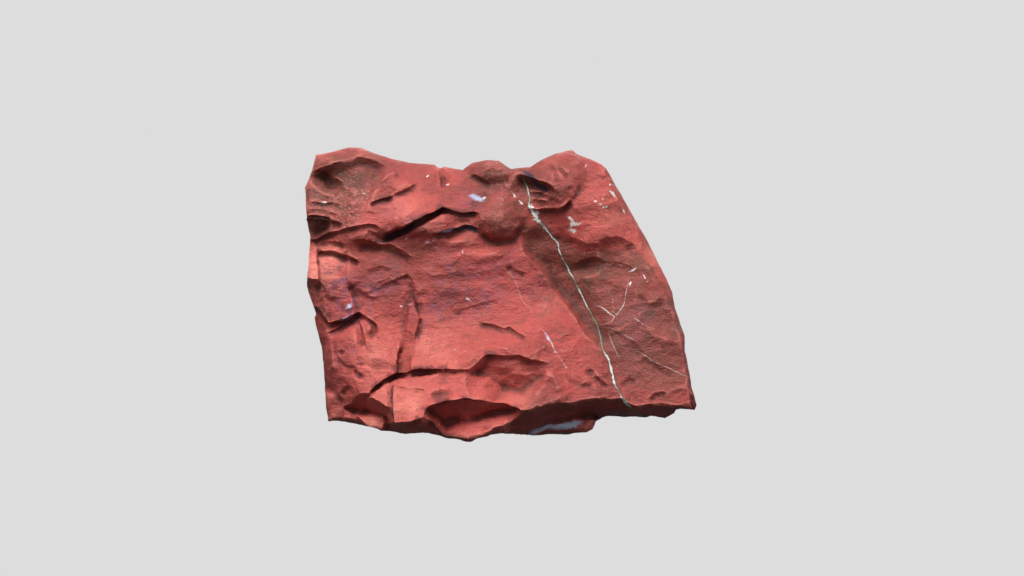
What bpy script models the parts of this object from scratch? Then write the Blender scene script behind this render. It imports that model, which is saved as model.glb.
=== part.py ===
"""A hand specimen of red chert: one stone, broken on every side, that stands on a flat break.

The broad front is a relief sculpted along the lines of sight of a viewer who looks at it from a little
above. Its sides and back are worn back to flat breaks and shell-shaped scars. Sizes are in millimetres
until the mesh is made. +X is to the viewer's right, +Y away from the viewer and +Z up.
"""

import itertools
import math

import bpy
import numpy as np

DEPTH_AT_FOOT = 52.0
DEPTH_AT_TOP = 38.0
VIEW_TILT = math.radians(6.0)
VIEW_DISTANCE = 497.0
VIEW_AIM = (2.9, 39.5)
FOOT_REACH = 9.0
FOOT_SPARE = 0.5
FRONT_COLUMNS = 170
FRONT_ROWS = 126
SIDE_LAYERS = 30
SIDE_TAPER = 0.15
TRIANGLES = 9200
HEART = np.array([-1.0, 13.0, 36.0])

# The outline as the viewer sees it, across and up, clockwise in four runs between its corners.
TOP_EDGE = [
    (-48.4, 74.4), (-44.2, 75.2), (-39.6, 76.5), (-36.0, 76.3), (-33.4, 75.2), (-28.2, 73.4),
    (-23.7, 72.4), (-17.2, 72.0), (-15.9, 70.9), (-14.9, 71.5), (-10.0, 70.5), (-7.7, 72.4),
    (-3.8, 73.2), (-0.3, 72.9), (2.7, 70.8), (7.5, 71.3), (10.8, 73.4), (14.1, 74.8),
    (18.6, 75.9), (19.9, 74.7), (23.2, 73.5), (26.4, 71.8), (27.7, 70.8),
]
RIGHT_EDGE = [
    (27.7, 70.8), (29.7, 67.2), (34.9, 58.1), (39.4, 50.0), (42.0, 44.8), (45.0, 38.3),
    (45.6, 34.4), (48.1, 27.2), (48.3, 23.3), (49.6, 16.5), (50.0, 13.5), (51.3, 9.0),
]
BOTTOM_EDGE = [
    (51.3, 9.0), (50.6, 7.5), (45.9, 7.8), (45.3, 6.7), (42.7, 5.3), (40.1, 6.1), (36.8, 5.7),
    (33.6, 6.7), (30.3, 6.7), (25.4, 5.4), (24.1, 2.5), (22.5, 1.6), (12.8, 1.8), (8.5, 0.9),
    (3.6, 1.4), (-1.6, 2.1), (-4.8, 0.5), (-8.1, 0.0), (-13.3, 0.7), (-19.8, 1.8), (-25.0, 1.2),
    (-30.5, 2.3), (-39.3, 4.6), (-45.2, 4.6),
]
LEFT_EDGE = [
    (-45.2, 4.6), (-45.8, 8.3), (-46.1, 13.5), (-46.8, 23.3), (-48.9, 31.8), (-48.4, 32.7),
    (-50.4, 38.3), (-50.8, 40.9), (-50.0, 51.3), (-50.0, 53.2), (-50.7, 56.5), (-51.3, 65.6),
    (-49.4, 70.1), (-48.4, 74.4),
]


def smoothstep(low, high, value):
    t = np.clip((value - low) / (high - low), 0.0, 1.0)
    return t * t * (3.0 - 2.0 * t)


def grade(degrees):
    return math.tan(math.radians(degrees))


def chance(cells, seed):
    """A fixed random value from 0 to 1 for each whole-numbered cell of space."""
    mixed = cells[:, 0] * 73856093 ^ cells[:, 1] * 19349663 ^ cells[:, 2] * 83492791 ^ seed * 2654435
    mixed = (mixed ^ (mixed >> 13)) * 1274126177 & 0x7FFFFFFF
    mixed = (mixed ^ (mixed >> 16)) * 668265263 & 0x7FFFFFFF
    return mixed / 0x7FFFFFFF


def noise(places, seed):
    """Smooth random values from -1 to 1, one cell of the noise a unit."""
    cell = np.floor(places).astype(np.int64)
    part = places - cell
    part = part * part * (3.0 - 2.0 * part)
    total = np.zeros(len(places))
    for corner in itertools.product((0, 1), repeat=3):
        total += np.prod(np.where(corner, part, 1.0 - part), axis=1) * chance(cell + corner, seed)
    return total * 2.0 - 1.0


def layered_noise(places, size, layers, seed):
    """Noise of the given size with finer layers on it, each half as strong."""
    total = np.zeros(len(places))
    for layer in range(layers):
        total += noise(places * (2.0**layer / size), seed + layer) / 2.0**layer
    return total


def shells(places, size, seed):
    """Bowls that meet in crisp ridges, as where small flakes came off: 0 in a bowl, near 0.5 on a ridge."""
    warp = np.stack([noise(places / size, seed + k) for k in (1, 2, 3)], axis=1)
    places = places / size + 0.3 * warp
    cell = np.floor(places).astype(np.int64)
    lowest = np.full(len(places), 9.0)
    for step in itertools.product((-1, 0, 1), repeat=3):
        at = cell + step
        middle = at + np.stack([chance(at, seed + k) for k in (4, 5, 6)], axis=1)
        lowest = np.minimum(lowest, ((places - middle) ** 2).sum(axis=1) + 0.5 * chance(at, seed + 7))
    return lowest


def locate(path, x, w):
    """Distance to a path, which side of it (+1 on its left) and how far along it, from 0 to 1."""
    path = np.asarray(path, float)
    step = path[1:] - path[:-1]
    length = np.hypot(*step.T)
    start = np.concatenate([[0.0], np.cumsum(length)])
    nearest = np.full(x.shape, 1e9)
    side = np.ones(x.shape)
    along = np.zeros(x.shape)
    for (ax, aw), (sx, sw), run, before in zip(path, step, length, start):
        t = np.clip(((x - ax) * sx + (w - aw) * sw) / run**2, 0.0, 1.0)
        away = np.hypot(x - ax - t * sx, w - aw - t * sw)
        cross = (sx * (w - aw) - sw * (x - ax)) / run
        take = away - 1e-4 * np.abs(cross) < nearest
        nearest = np.where(take, away, nearest)
        side = np.where(take, np.where(cross >= 0.0, 1.0, -1.0), side)
        along = np.where(take, (before + t * run) / start[-1], along)
    return nearest, side, along


def depth_inside(outline, x, w):
    """Distance to a closed outline, positive inside it."""
    outline = np.asarray(outline, float)
    nearest = np.full(x.shape, 1e9)
    odd = np.zeros(x.shape, bool)
    for (ax, aw), (bx, bw) in zip(outline, np.roll(outline, -1, 0)):
        sx, sw = bx - ax, bw - aw
        t = np.clip(((x - ax) * sx + (w - aw) * sw) / (sx * sx + sw * sw), 0.0, 1.0)
        nearest = np.minimum(nearest, np.hypot(x - ax - t * sx, w - aw - t * sw))
        if sw:
            odd ^= ((aw > w) != (bw > w)) & (x < ax + (w - aw) * sx / sw)
    return np.where(odd, nearest, -nearest)


class Relief:
    """Height toward the viewer over points across (x) and up (w), which wander from a straight grid."""

    def __init__(self, x, w):
        flat = np.stack([x.ravel(), w.ravel(), np.zeros(x.size)], axis=1)
        wander = [0.55 * layered_noise(flat, 6.0, 3, seed).reshape(x.shape) for seed in (301, 311)]
        self.x = x + wander[0]
        self.w = w + wander[1]
        self.vary = noise(flat / 4.5, 321).reshape(x.shape)
        self.h = np.zeros(x.shape)

    def near(self, points, reach):
        low = np.min(points, axis=0) - reach
        high = np.max(points, axis=0) + reach
        across = (self.x > low[0]) & (self.x < high[0])
        return np.nonzero(across & (self.w > low[1]) & (self.w < high[1]))

    def plane(self, i, at, level, up, right):
        """A sloping plane: up is how far it leans back, right how far it turns to the right."""
        return level - grade(right) * (self.x[i] - at[0]) - grade(up) * (self.w[i] - at[1])

    def masses(self, masses):
        """The large forms: a blend of sloping planes, each strongest at its own place."""
        total = np.zeros(self.x.shape)
        share = np.full(self.x.shape, 1e-12)
        everywhere = np.nonzero(np.ones(self.x.shape, bool))
        for at, level, up, right, size in masses:
            pull = np.exp(-((self.x - at[0]) ** 2 + (self.w - at[1]) ** 2) / (2.0 * size**2))
            total += pull * self.plane(everywhere, at, level, up, right).reshape(self.x.shape)
            share += pull
        self.h += total / share

    def ledge(self, path, drop, reach, low, wall=0.5, lip=0.0, ends=0.2, fall=1.5):
        """A step down along the path on its low side, which climbs back over its reach."""
        i = self.near(path, reach)
        away, side, along = locate(path, self.x[i], self.w[i])
        below = side * (1.0 if low == "left" else -1.0) > 0.0
        taper = smoothstep(0.0, ends, along) * smoothstep(0.0, ends, 1.0 - along)
        fade = np.clip(1.0 - away / reach, 0.0, 1.0) ** fall
        wide = wall * (1.0 + 0.4 * self.vary[i])
        step = drop * (1.0 + 0.35 * self.vary[i]) * smoothstep(-0.2, 1.0, away / wide) * fade
        edge = lip * np.exp(-away / 1.2) * (1.0 - away / reach).clip(0.0)
        self.h[i] += taper * np.where(below, edge * np.clip(1.0 - away / wall, 0.0, 1.0) - step, edge)

    def fold(self, path, lift, width, ends=0.3):
        """A rounded ridge along the path, or a groove where lift is negative."""
        i = self.near(path, 3.0 * width)
        away, _, along = locate(path, self.x[i], self.w[i])
        taper = smoothstep(0.0, ends, along) * smoothstep(0.0, ends, 1.0 - along)
        self.h[i] += lift * np.exp(-((away / width) ** 2)) * taper

    def crack(self, path, depth, width=0.45, ends=0.2):
        i = self.near(path, width)
        away, _, along = locate(path, self.x[i], self.w[i])
        taper = smoothstep(0.0, ends, along) * smoothstep(0.0, ends, 1.0 - along)
        self.h[i] -= depth * np.clip(1.0 - away / width, 0.0, 1.0) * taper

    def trench(self, path, depth, width, ends=0.15):
        """A steep-sided slot of the given half width, which narrows to its ends."""
        i = self.near(path, width)
        away, _, along = locate(path, self.x[i], self.w[i])
        taper = smoothstep(0.0, ends, along) * smoothstep(0.0, ends, 1.0 - along)
        wide = width * (0.3 + 0.7 * taper)
        self.h[i] -= depth * taper * smoothstep(0.0, 0.6, 1.0 - away / wide)

    def lump(self, at, size, lift, turn=0.0, crisp=1.0):
        """A rounded lump, or a bowl where lift is negative. A lower crisp gives a sharper rim."""
        i = self.near([at], max(size))
        c, s = math.cos(math.radians(turn)), math.sin(math.radians(turn))
        dx, dw = self.x[i] - at[0], self.w[i] - at[1]
        inner = 1.0 - ((c * dx + s * dw) / size[0]) ** 2 - ((c * dw - s * dx) / size[1]) ** 2
        self.h[i] += lift * np.clip(inner, 0.0, 1.0) ** crisp

    def plate(self, outline, at, level, up, right, edge=0.5):
        """A flat break: inside the outline the surface is this plane."""
        i = self.near(outline, 0.0)
        share = np.clip(depth_inside(outline, self.x[i], self.w[i]) / edge, 0.0, 1.0)
        self.h[i] += share * (self.plane(i, at, level, up, right) - self.h[i])

    def cut(self, outline, at, level, up, right, wall=1.6):
        """A flat break that only takes away, with a sloping wall around its outline."""
        i = self.near(outline, 6.0)
        outside = np.clip(-depth_inside(outline, self.x[i], self.w[i]), 0.0, None)
        self.h[i] = np.minimum(self.h[i], self.plane(i, at, level, up, right) + wall * outside)

    def build_up(self, outline, at, level, up, right, wall=2.5):
        """A block that stands out to a sloping plane, with a falling wall around its outline."""
        i = self.near(outline, 4.0)
        outside = np.clip(-depth_inside(outline, self.x[i], self.w[i]), 0.0, None)
        self.h[i] = np.maximum(self.h[i], self.plane(i, at, level, up, right) - wall * outside)

    def underside(self, rim, angle, most=30.0):
        """Below the rim the surface falls back under the stone."""
        path = np.asarray(rim, float)
        rim_w = np.interp(self.x, path[:, 0], path[:, 1])
        inside = (self.x > path[0, 0]) & (self.x < path[-1, 0])
        drop = np.clip(rim_w - self.w, 0.0, most) * grade(angle)
        ends = np.minimum(self.x - path[0, 0], path[-1, 0] - self.x).clip(0.0)
        self.h -= np.where(inside, drop * np.clip(ends / 1.5, 0.0, 1.0), 0.0)


def large_forms(r):
    """Each mass: its place, height, lean back, turn to the right (degrees) and how far it holds sway."""
    r.masses([
        ((-40, 75), 5.5, 52, -4, 3.5), ((-47, 69), 7.5, 6, -14, 4.0), ((-38, 67), 8.0, 6, 0, 5.0),
        ((-27, 71), 5.8, 42, 0, 4.5), ((-30, 63), 10.4, 32, 0, 4.5), ((-20, 63), 11.2, 31, 0, 4.5),
        ((-46, 60), 9.5, 6, -10, 4.0), ((-36, 57), 12.0, 20, -4, 3.5), ((-12, 66), 9.4, 28, 0, 4.5),
        ((-4, 70), 8.5, 14, 0, 4.0), ((-5, 62), 11.6, 14, 0, 4.0), ((13, 70), 9.5, 22, 0, 4.5),
        ((8, 63), 9.5, 2, 0, 3.5), ((25, 66), 9.5, 22, 14, 6.0), ((33, 56), 6.0, 18, 28, 5.0),
        ((24, 56), 10.5, 8, 6, 5.0), ((14, 51), 7.5, 0, -2, 4.0), ((19, 42), 6.2, -8, -8, 4.0),
        ((30, 45), 7.5, -8, 4, 5.0), ((25, 33), 8.2, -6, -10, 4.0), ((33, 36), 10.0, -6, -2, 6.0),
        ((42, 36), 8.0, -4, 14, 5.0), ((33, 24), 12.0, -2, -2, 6.0), ((44, 20), 11.5, 2, 10, 6.0),
        ((35, 14), 14.0, 14, 0, 4.5), ((48, 12), 12.0, 8, 12, 3.5),
        ((-12, 46), 11.4, 4, 4, 5.0), ((1, 47), 11.0, 4, 2, 5.0), ((-12, 36), 12.0, 4, 2, 5.0),
        ((3, 37), 11.8, 8, 4, 5.0), ((10, 38), 9.8, 8, 20, 4.0), ((-12, 24), 16.0, 31, -2, 5.0),
        ((3, 25), 16.0, 27, 2, 5.0), ((13, 29), 13.2, 16, 20, 4.0), ((19, 22), 14.4, 14, 16, 4.5),
        ((10, 14), 18.5, 8, 2, 5.0), ((22, 14), 16.0, 12, 6, 4.5),
        ((-20, 14), 20.0, 30, -4, 4.5), ((-8, 14), 20.5, 28, 0, 4.5), ((3, 12), 20.0, 16, 0, 4.5),
        ((-45, 44), 9.4, 14, -8, 4.0), ((-36, 44), 9.8, 8, 0, 5.0), ((-27, 38), 11.0, 10, 4, 5.0),
        ((-27, 48), 10.8, 8, 2, 4.0),
        ((-31, 26), 13.5, 28, 2, 5.0), ((-39, 22), 12.0, 14, -14, 4.5), ((-33, 14), 17.0, 32, -6, 4.0),
        ((-44, 36), 9.0, 2, -16, 3.5), ((-44, 10), 8.5, 6, -16, 4.0), ((-35, 5), 11.0, 4, -6, 4.0),
    ])


def top_left(r):
    """The hollow under the top left corner, its ribs, and the crumpled edge below it."""
    r.ledge([(-49.0, 68.6), (-47.2, 70.0), (-42.5, 72.3), (-37.0, 73.5), (-32.6, 73.1), (-28.6, 70.8)],
            3.4, 11.0, "right", wall=3.4, ends=0.15, fall=0.9)
    r.lump((-45.8, 66.8), (4.6, 2.6), -2.4, -24, 1.3)
    r.fold([(-36.8, 60.0), (-32.8, 64.2), (-29.4, 68.4), (-25.0, 70.6)], 1.1, 1.5)
    r.fold([(-28.6, 64.4), (-26.0, 65.8), (-22.4, 67.4)], 1.2, 1.2)
    r.ledge([(-31.4, 62.5), (-28.4, 63.3), (-25.4, 64.8), (-22.6, 66.3), (-20.4, 67.5)], 0.8, 2.4,
            "right", wall=0.8, lip=0.4, ends=0.25)
    r.ledge([(-35.0, 61.0), (-32.5, 62.1), (-30.4, 62.9), (-28.2, 63.3)], 1.9, 2.6, "right",
            wall=0.8, lip=0.4)
    r.fold([(-36.4, 60.2), (-32.0, 60.6), (-27.0, 62.2)], 0.6, 1.0)
    r.fold([(-31.0, 65.6), (-27.0, 68.0), (-22.0, 69.4)], 0.8, 1.4)
    r.ledge([(-33.8, 66.0), (-31.4, 67.0), (-29.0, 69.2), (-25.6, 70.8)], 1.2, 3.4, "right", wall=1.0)
    r.fold([(-43.6, 63.8), (-40.0, 62.6), (-37.6, 60.6)], 0.8, 1.0)
    r.fold([(-42.4, 66.4), (-39.0, 64.6), (-36.8, 63.0)], 0.6, 0.8)
    r.ledge([(-52.0, 57.4), (-46.5, 57.2), (-43.6, 56.6), (-41.6, 55.8)], 1.6, 4.0, "right",
            wall=0.9, ends=0.02)
    r.cut([(-52.5, 56.8), (-47.4, 56.7), (-45.6, 56.2), (-46.0, 55.0), (-48.2, 54.2), (-52.5, 54.0)],
          (-48, 55.6), 4.4, -20, -14, 3.4)
    r.ledge([(-51, 61.6), (-47.5, 61.2), (-44.0, 62.0), (-40.6, 60.8)], 1.0, 2.2, "right", wall=0.7)
    r.ledge([(-51, 59.4), (-46.0, 59.8), (-42.0, 58.6)], 0.9, 1.8, "right", wall=0.6)
    r.ledge([(-40.6, 58.6), (-37.0, 59.6), (-33.0, 58.6)], 0.7, 2.2, "right", wall=0.8)
    r.ledge([(-15.9, 72.0), (-15.7, 68.0), (-15.9, 64.6)], 1.1, 4.0, "left", wall=0.4, ends=0.3)


def brow(r):
    """The ledge across the left half, the dark slot under it and the wrinkle below that."""
    r.ledge([(-51.0, 52.3), (-46.2, 53.0), (-42.5, 54.1), (-38.7, 55.2), (-34.7, 55.8), (-31.0, 54.6)],
            1.1, 3.0, "right", wall=0.9, lip=0.5, ends=0.08)
    r.ledge([(-38.6, 51.4), (-35.6, 51.8), (-32.4, 50.6), (-28.4, 50.6), (-24.6, 48.4), (-21.6, 46.0)],
            2.0, 5.0, "right", wall=1.9, lip=0.4, ends=0.2, fall=1.2)
    r.ledge([(-34.6, 54.2), (-32.4, 53.0), (-30.0, 52.2)], 0.8, 2.0, "right", wall=0.6)
    r.ledge([(-32.0, 52.4), (-29.4, 53.5), (-25.0, 55.7), (-20.6, 57.7), (-15.0, 60.3), (-12.3, 59.5),
             (-10.0, 58.8), (-7.1, 59.4), (-5.0, 59.2)], 1.3, 7.0, "right",
            wall=0.8, lip=0.9, ends=0.1, fall=1.0)
    r.trench([(-31.4, 51.6), (-29.0, 52.3), (-24.8, 54.5), (-20.2, 57.0), (-15.4, 59.5), (-12.0, 59.1)],
             2.2, 0.75)
    r.ledge([(-24.6, 52.6), (-22.0, 53.8), (-19.0, 55.2)], 0.7, 2.4, "right", wall=0.5)
    r.ledge([(-18.8, 52.6), (-17.2, 53.8), (-15.0, 54.1), (-12.3, 55.4), (-10.0, 55.7), (-7.6, 55.4),
             (-5.3, 54.0)], 1.4, 4.0, "right", wall=0.9, lip=0.4)
    r.ledge([(-13.4, 56.6), (-10.6, 57.2), (-7.4, 56.8)], 0.7, 1.6, "right", wall=0.5)
    r.fold([(-27.0, 57.8), (-22.5, 60.4), (-17.6, 62.4)], 0.7, 1.3)
    r.fold([(-17.0, 50.6), (-11.0, 52.4), (-5.0, 51.4)], 0.9, 1.8)


def lumps(r):
    """The knob in the middle, the round lump above it, and the block at the top right."""
    r.lump((-0.1, 58.4), (7.0, 6.4), 3.0, 10, 1.2)
    r.ledge([(-6.2, 55.6), (-5.0, 53.8), (-2.6, 52.7), (0.2, 52.4), (2.7, 53.3), (5.0, 55.4), (6.0, 58.0)],
            1.9, 5.0, "right", wall=1.5, lip=0.4, ends=0.3)
    r.lump((-2.8, 70.8), (6.0, 4.4), 2.2, -8, 1.1)
    r.ledge([(-7.0, 69.4), (-5.2, 68.1), (-3.4, 66.8), (-2.0, 66.6)], 0.9, 2.4, "right", wall=0.9)
    r.fold([(-9.0, 61.0), (-5.0, 61.6), (-3.0, 64.4)], -0.4, 0.9)
    r.fold([(1.0, 70.6), (2.2, 68.2), (3.0, 65.6)], 0.5, 0.8)
    r.lump((15.0, 69.0), (7.8, 7.2), 2.6, 30, 0.9)
    r.ledge([(4.2, 70.2), (7.0, 68.9), (9.7, 67.2), (12.9, 65.3), (14.2, 63.4)], 4.2, 6.0, "right", wall=2.2,
            lip=0.5, ends=0.3, fall=1.2)
    r.fold([(6.8, 65.4), (9.4, 64.4), (12.4, 63.0)], 1.1, 0.7)
    r.fold([(7.4, 62.8), (10.0, 62.0), (12.4, 61.4)], 0.9, 0.6)
    r.ledge([(7.4, 60.4), (9.6, 59.5), (12.0, 59.6), (15.0, 60.0), (16.9, 61.1), (18.6, 62.5)], 1.6, 5.0,
            "right", wall=0.9, lip=0.3, ends=0.15)
    r.ledge([(15.0, 60.0), (16.9, 61.1), (18.6, 62.5), (20.1, 64.1), (20.8, 66.8)], 0.7, 4.0, "right",
            wall=0.6, lip=0.2, ends=0.3)
    r.ledge([(20.9, 67.0), (21.2, 70.0), (20.6, 73.0), (19.8, 76.0)], 0.5, 4.0, "right", wall=1.4)
    r.fold([(15.2, 70.8), (17.0, 68.8), (18.6, 68.2)], -0.7, 0.6)
    r.fold([(12.4, 72.0), (14.6, 69.2), (14.8, 65.6)], -0.5, 0.8)


def slab(r):
    """The broad leaning slab in the middle, with soft ripples across it."""
    r.ledge([(4.6, 53.6), (6.9, 48.8), (8.6, 46.3), (10.8, 44.2), (13.2, 40.3), (17.1, 35.6), (19.7, 31.2),
             (22.3, 27.2), (25.2, 24.4), (28.5, 22.0)], 3.4, 8.5, "left", wall=2.6, lip=0.5, ends=0.12)
    r.ledge([(-7.0, 30.8), (-3.0, 30.1), (0.2, 28.9), (1.9, 29.5), (4.8, 27.7), (7.6, 25.6)],
            1.1, 4.5, "right", wall=0.8, lip=0.2)
    r.ledge([(-13.0, 33.0), (-7.6, 34.5), (-3.9, 35.9), (-0.4, 37.4)], 0.8, 4.0, "right", 1.2)
    r.ledge([(-11.0, 28.2), (-6.5, 26.9), (-1.9, 25.5), (2.0, 24.6)], 0.7, 3.5, "right", 1.2)
    r.ledge([(-7.0, 23.2), (-1.0, 24.0), (3.0, 23.0)], 0.6, 3.5, "right", 1.4)
    r.cut([(-5.3, 17.4), (-2.5, 21.0), (3.1, 21.4), (7.5, 19.9), (12.2, 19.5), (9.5, 16.0), (5.5, 12.8),
           (0.7, 13.8), (-2.5, 16.4)], (4, 21), 16.8, -16, -8, 1.5)
    r.ledge([(-4.0, 23.6), (0.4, 23.2), (3.9, 22.0), (7.4, 20.4), (10.0, 20.7), (12.4, 20.4), (14.6, 17.4)],
            0.6, 3.6, "right", wall=1.2, lip=0.2)
    r.fold([(-14.0, 16.0), (-6.0, 16.2), (2.0, 14.4)], 0.8, 1.6)
    r.fold([(11.6, 18.6), (14.2, 15.2), (15.6, 11.8)], 0.9, 1.3)
    r.ledge([(-23.0, 43.6), (-16.0, 42.6), (-10.0, 44.0)], 0.6, 5.0, "right", 1.4)
    r.ledge([(2.0, 45.6), (4.6, 43.9), (7.0, 43.0)], 0.8, 3.4, "right", 1.0)
    r.fold([(-11.0, 49.2), (-5.0, 47.4), (3.0, 49.0)], 0.6, 1.6)
    r.fold([(-19.0, 40.0), (-10.0, 38.4), (-3.0, 40.4)], 0.5, 1.6)
    r.fold([(-2.0, 40.2), (3.0, 38.6), (9.0, 36.0)], -0.5, 1.4)
    r.ledge([(-21.6, 30.6), (-15.0, 29.2), (-9.0, 30.2)], 0.8, 8.0, "right", 2.4)
    r.ledge([(-24.4, 43.0), (-22.6, 38.6), (-23.2, 35.2), (-24.8, 29.4), (-26.0, 24.5), (-26.4, 21.6),
             (-26.8, 17.6)], 1.0, 12.0, "right", wall=0.5, ends=0.03, fall=0.7)
    r.plate([(-22.6, 39.0), (-23.6, 35.2), (-25.0, 29.4), (-26.2, 24.5), (-26.9, 17.8), (-23.5, 17.6),
             (-22.9, 22.0), (-22.2, 25.4), (-21.3, 28.8), (-20.7, 31.8)], (-24, 26), 13.4, 6, -28, 0.35)
    r.crack([(-24.9, 43.6), (-23.6, 41.6), (-22.6, 38.6), (-23.2, 35.2)], 0.8, 0.6)
    r.crack([(-24.2, 31.6), (-24.8, 29.4), (-26.0, 24.5), (-26.4, 21.6), (-26.8, 18.0)], 0.8, 0.45, 0.12)
    r.ledge([(-35.0, 10.6), (-32.6, 13.0), (-30.3, 15.1), (-28.0, 16.6), (-26.8, 17.6), (-20.0, 18.4),
             (-14.0, 18.4), (-7.6, 18.2), (-3.0, 17.0)], 1.0, 5.0, "right",
            wall=0.5, lip=0.4, ends=0.14, fall=1.2)
    r.trench([(-35.2, 10.2), (-32.6, 12.9), (-30.2, 14.9), (-28.0, 16.3), (-26.0, 16.9), (-21.0, 17.5),
              (-14.6, 18.1)], 2.2, 0.85, 0.2)


def left_blocks(r):
    """The broken blocks, cracks and small faces down the left side."""
    r.ledge([(-47.2, 51.6), (-43.0, 51.2), (-39.6, 50.2)], 0.8, 2.6, "right", wall=0.5)
    r.ledge([(-47.4, 49.6), (-46.6, 49.4), (-43.0, 48.9), (-39.4, 47.6), (-36.6, 46.2)],
            1.9, 3.4, "right", wall=0.9, lip=0.3, ends=0.06)
    r.plate([(-51.5, 52.4), (-47.4, 52.0), (-47.2, 45.0), (-47.7, 39.7), (-51.5, 39.5)],
            (-49, 46), 10.6, 26, 6, 0.4)
    r.cut([(-51.5, 39.4), (-47.8, 39.4), (-47.7, 35.2), (-51.5, 35.2)], (-49, 37), 7.4, -6, -18, 2.0)
    r.ledge([(-47.6, 40.6), (-45.6, 38.6), (-44.4, 36.6), (-42.6, 37.6)], 0.9, 3.0, "right", 0.8)
    r.cut([(-47.7, 35.6), (-45.3, 36.9), (-44.2, 35.9), (-44.3, 30.9)], (-45.4, 34.6), 8.6, -10, -24, 2.0)
    r.ledge([(-48.0, 35.0), (-46.2, 32.6), (-44.4, 30.5), (-42.2, 31.2), (-37.8, 32.9), (-36.6, 33.6)],
            2.8, 4.0, "right", wall=0.8, lip=0.6, ends=0.06)
    r.ledge([(-45.6, 27.6), (-41.6, 29.8), (-37.6, 32.2)], 0.9, 3.0, "right", wall=0.4, lip=0.5)
    r.fold([(-40.4, 33.6), (-38.6, 35.4), (-38.0, 37.8)], 0.8, 0.8)
    r.ledge([(-37.2, 33.2), (-37.4, 34.9), (-38.4, 37.5), (-40.0, 40.0)], 1.5, 4.0, "right", wall=0.6)
    r.ledge([(-37.6, 34.8), (-34.7, 32.3), (-32.6, 30.3), (-31.9, 28.0), (-32.9, 25.0)], 2.2, 3.0, "right",
            wall=0.9, lip=0.4)
    r.fold([(-35.8, 32.0), (-33.8, 29.8), (-33.6, 27.6)], 0.8, 0.6)
    r.ledge([(-37.2, 32.6), (-36.1, 29.4), (-35.4, 27.1), (-35.6, 22.6)], 1.6, 3.0, "right",
            wall=0.6, lip=0.3)
    r.lump((-39.4, 24.0), (4.6, 5.6), 0.9, 20, 0.9)
    r.ledge([(-43.5, 27.0), (-43.2, 24.0), (-42.2, 20.6), (-39.9, 18.5), (-37.4, 19.4)], 0.7, 2.4, "right",
            wall=0.6)
    r.lump((-41.7, 22.2), (0.9, 0.8), -0.6)
    r.ledge([(-38.2, 18.2), (-37.2, 17.4), (-35.8, 16.2)], 1.3, 2.0, "right", 0.7)
    r.ledge([(-40.6, 42.4), (-37.6, 39.6), (-33.0, 37.6), (-27.5, 38.8)], 0.9, 4.5, "right", 1.2)
    r.ledge([(-39.4, 49.0), (-39.8, 44.6), (-40.6, 40.0)], 1.0, 4.0, "right", 0.8)
    r.ledge([(-35.4, 44.4), (-31.0, 45.2), (-27.6, 44.0)], 0.8, 3.4, "right", 1.0)
    r.ledge([(-33.0, 41.4), (-29.0, 41.8), (-25.4, 40.4)], 0.6, 3.0, "right", 1.0)
    side = [(-48.4, 35.4), (-45.3, 29.7), (-44.4, 25.7), (-44.0, 19.9), (-43.1, 13.6), (-41.2, 10.4),
            (-41.6, 3.0)]
    i = r.near(side, 9.0)
    away, left, _ = locate(side, r.x[i], r.w[i])
    r.h[i] -= np.where(left < 0.0, 1.5 * away, 0.0)
    r.plate([(-46.8, 13.2), (-43.1, 13.4), (-41.1, 10.6), (-41.2, 4.0), (-46.8, 4.0)],
            (-44, 9), 8.8, 4, -12, 0.8)


def lower_left(r):
    """The dark wedge and the small triangles under the left corner."""
    r.ledge([(-42.4, 12.6), (-40.0, 14.6), (-37.6, 12.4)], 1.6, 3.0, "right", 1.2)
    r.cut([(-41.6, 10.6), (-37.5, 11.8), (-34.1, 11.3), (-28.4, 8.6), (-28.4, 7.7), (-36.0, 6.9),
           (-41.0, 8.2)], (-35, 11.4), 14.2, -52, -4, 2.4)
    r.ledge([(-41.0, 8.4), (-36.0, 7.2), (-28.6, 8.0)], 0.9, 3.0, "right", wall=0.6, ends=0.05)
    r.build_up([(-37.6, 6.3), (-30.2, 6.3), (-29.4, 1.6), (-34.0, 1.6)], (-33, 4.6), 14.6, 36, -4)
    r.underside([(-30.4, 5.4), (-28.0, 4.8), (-26.9, 4.7), (-20.3, 6.0), (-17.7, 7.4), (-16.4, 6.4),
                 (-14.6, 4.4), (-13.4, 2.6)], 58)
    r.build_up([(-33.8, 11.1), (-29.5, 15.2), (-28.0, 14.4), (-28.1, 8.4)], (-30, 11), 18.6, 34, -6, 3.0)


def shelf(r):
    """The chunk that stands out most and the two shell-shaped scars beside it."""
    r.build_up([(-27.8, 14.2), (-28.1, 8.6), (-27.7, 4.9), (-27.1, 4.5), (-20.0, 5.9), (-17.4, 7.4),
                (-16.6, 9.6), (-18.4, 14.0)], (-24, 8), 24.2, 34, 12, 8.0)
    r.ledge([(-27.4, 14.1), (-23.0, 13.6), (-18.2, 13.2)], 0.6, 3.0, "right", wall=0.5)
    r.lump((-15.2, 11.4), (2.6, 2.0), -1.0)
    r.cut([(-17.7, 7.5), (-14.3, 9.4), (-9.1, 10.3), (-3.4, 10.3), (0.8, 9.6), (3.6, 7.5), (1.8, 6.7),
           (-5.5, 5.9), (-9.6, 4.9), (-13.5, 3.9)], (-8, 10), 21.2, -50, 6, 3.2)
    r.underside([(-18.0, -0.6), (-15.5, 0.2), (-13.5, 1.0), (-9.1, 2.4), (-6.5, 4.4), (-3.4, 5.7), (0.0, 6.2),
                 (3.0, 6.6)], 42)


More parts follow.
